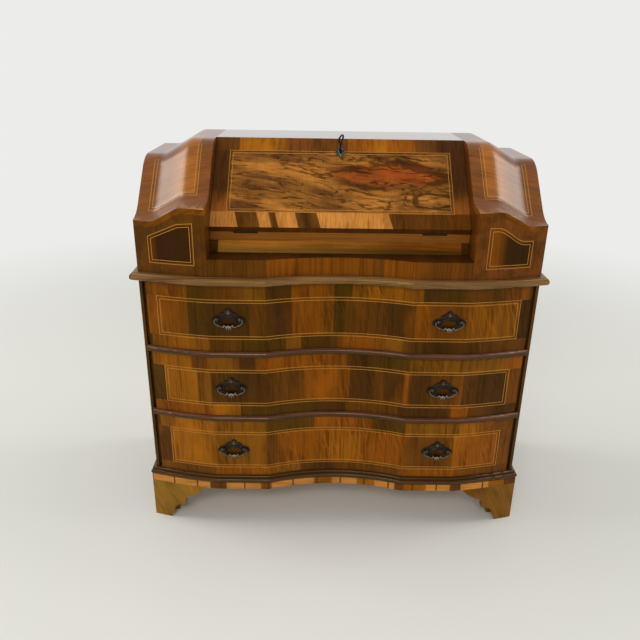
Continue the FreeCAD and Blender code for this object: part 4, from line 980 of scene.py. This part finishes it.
class BUREAU_OT_fit_lock(bpy.types.Operator):
    """Makes key and keyhole plate and gives lock and hinges their metal"""

    bl_idname = "bureau.fit_lock"
    bl_label = "Fit the lock"

    def execute(self, context):
        sizes = context.scene.bureau_sizes
        iron = spotted_metal("iron", "iron", "rust", 220.0, (0.45, 0.7, 0.0, 0.6), (0.3, 0.3), metallic=0.8)
        black = spotted_metal("blackened_iron", "black_iron", "black_rust", 200.0, (0.45, 0.7), (0.2, 0.45),
                              specular=0.2, tint=WARM)
        pale = spotted_metal("keyhole_plate", "zinc", "zinc_dark", 180.0, (0.4, 0.62), (0.25, 0.25),
                             relief=0.3, rugged=0.65, metallic=0.75)
        for node in ("lock_case", "lock_bolt"):
            dress(node, iron, 0.0002)
        for node in ("hinge_leaves_desk", "hinge_leaves_flap"):
            dress(node, black, 0.0002)
        for model, name, node, body, metal in (
                (cast_escutcheon(sizes), "keyhole_plate", "escutcheon", "flap", pale),
                (cut_key(sizes), "key_with_bow", "key", "key", iron)):
            piece = placed_copy(model, name, KEYHOLE, -math.pi / 4)
            bpy.data.objects.remove(model)
            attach(piece, body)
            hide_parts(node)
            piece.data.materials.append(metal)
        return {"FINISHED"}


ROOM_RISE = (0.25, 0.70)    # the light falls from the walls' strength to the ceiling's between these heights


class BUREAU_OT_set_stage(bpy.types.Operator):
    """Stands the bureau on a pale floor in soft even light, seen as in the photograph"""

    bl_idname = "bureau.set_stage"
    bl_label = "Set the stage"

    def execute(self, context):
        studio = context.scene.bureau_studio
        bpy.ops.mesh.primitive_grid_add(x_subdivisions=8, y_subdivisions=8, size=14, location=(0, 0, 0))
        floor = context.object
        floor.name = "floor"
        floor.data.materials.append(floor_material(studio))
        world = bpy.data.worlds.new("Room")
        context.scene.world = world
        s = Shader("Room", world)
        level = s.add("ShaderNodeMapRange", {}, s.z, *ROOM_RISE, studio.walls, studio.sky)
        light = s.add("ShaderNodeBackground", {}, solid(NEUTRAL), level)
        backdrop = s.add("ShaderNodeBackground", {}, solid(tuple(studio.wall)))
        seen = s.add("ShaderNodeLightPath", {}, out="Is Camera Ray")
        s.add("ShaderNodeOutputWorld", {}, s.add("ShaderNodeMixShader", {}, seen, light, backdrop))
        lamps = (("lamp_left", (-2.9, 0.3, 3.2), (1.9, 2.2), studio.lamps),
                 ("lamp_right", (3.1, 0.3, 3.2), (1.9, 2.2), studio.lamps * 0.85),
                 ("lamp_front", (-0.6, -3.4, 3.0), (1.8, 0.8), studio.front))
        for name, place, size, power in lamps:
            bpy.ops.object.light_add(type="AREA", location=place)
            lamp = context.object
            lamp.name = name
            lamp.data.shape = "RECTANGLE"
            lamp.data.size, lamp.data.size_y = size
            lamp.data.energy = power
            aim = Vector((0, 0, 0.5)) - Vector(place)
            lamp.rotation_euler = aim.to_track_quat("-Z", "Y").to_euler()
        bpy.ops.object.camera_add()
        camera = context.object
        camera.name = "camera"
        camera.data.lens = studio.lens
        camera.data.sensor_width = 36
        pitch, yaw, roll = studio.pitch, studio.yaw, studio.roll
        ahead = Vector((math.sin(yaw) * math.cos(pitch), math.cos(yaw) * math.cos(pitch), -math.sin(pitch)))
        right = ahead.cross(Vector((0, 0, 1))).normalized()
        up = right.cross(ahead)
        level = right * math.cos(roll) + up * math.sin(roll)
        rise = up * math.cos(roll) - right * math.sin(roll)
        facing = Matrix((level, rise, -ahead)).transposed().to_4x4()
        camera.matrix_world = Matrix.Translation(Vector(studio.place)) @ facing
        context.scene.camera = camera
        context.scene.view_settings.view_transform = "Standard"
        return {"FINISHED"}


def floor_material(studio):
    """Pale floor that turns into the tone of the room some way off, so that no horizon shows."""
    s = Shader("floor")
    away = s.x.math("SQRT", s.x * s.x + s.y * s.y)
    near = s.add("ShaderNodeBsdfDiffuse", {}, solid(tuple(studio.floor)))
    far = s.add("ShaderNodeEmission", {}, solid(tuple(studio.wall)), 1.0)
    both = s.add("ShaderNodeMixShader", {}, away.fade(1.3, 3.4), near, far)
    s.add("ShaderNodeOutputMaterial", {}, both)
    return s.material


class BUREAU_PT_panel(bpy.types.Panel):
    """Sizes, tones and steps of the bureau"""

    bl_label = "Bureau"
    bl_idname = "BUREAU_PT_panel"
    bl_space_type = "VIEW_3D"
    bl_region_type = "UI"
    bl_category = "Bureau"

    def draw(self, context):
        for key, kind in GROUPS.items():
            box = self.layout.box()
            for name in kind.__annotations__:
                box.prop(getattr(context.scene, key), name)
        for step in STEPS:
            self.layout.operator(step.bl_idname)


STEPS = (BUREAU_OT_finish_case, BUREAU_OT_run_mouldings, BUREAU_OT_veneer_drawers, BUREAU_OT_veneer_flap,
         BUREAU_OT_veneer_wings, BUREAU_OT_cast_handles, BUREAU_OT_fit_lock, BUREAU_OT_set_stage)
GROUPS = {"bureau_tones": BureauTones, "bureau_sizes": BureauSizes, "bureau_studio": BureauStudio}
CLASSES = (*GROUPS.values(), *STEPS, BUREAU_PT_panel)


def register():
    for item in CLASSES:
        bpy.utils.register_class(item)
    for key, kind in GROUPS.items():
        setattr(bpy.types.Scene, key, PointerProperty(type=kind))


def unregister():
    for key in GROUPS:
        delattr(bpy.types.Scene, key)
    for item in reversed(CLASSES):
        bpy.utils.unregister_class(item)


def main():
    register()
    for step in STEPS:
        area, name = step.bl_idname.split(".")
        getattr(getattr(bpy.ops, area), name)()


if __name__ == "__main__":
    main()
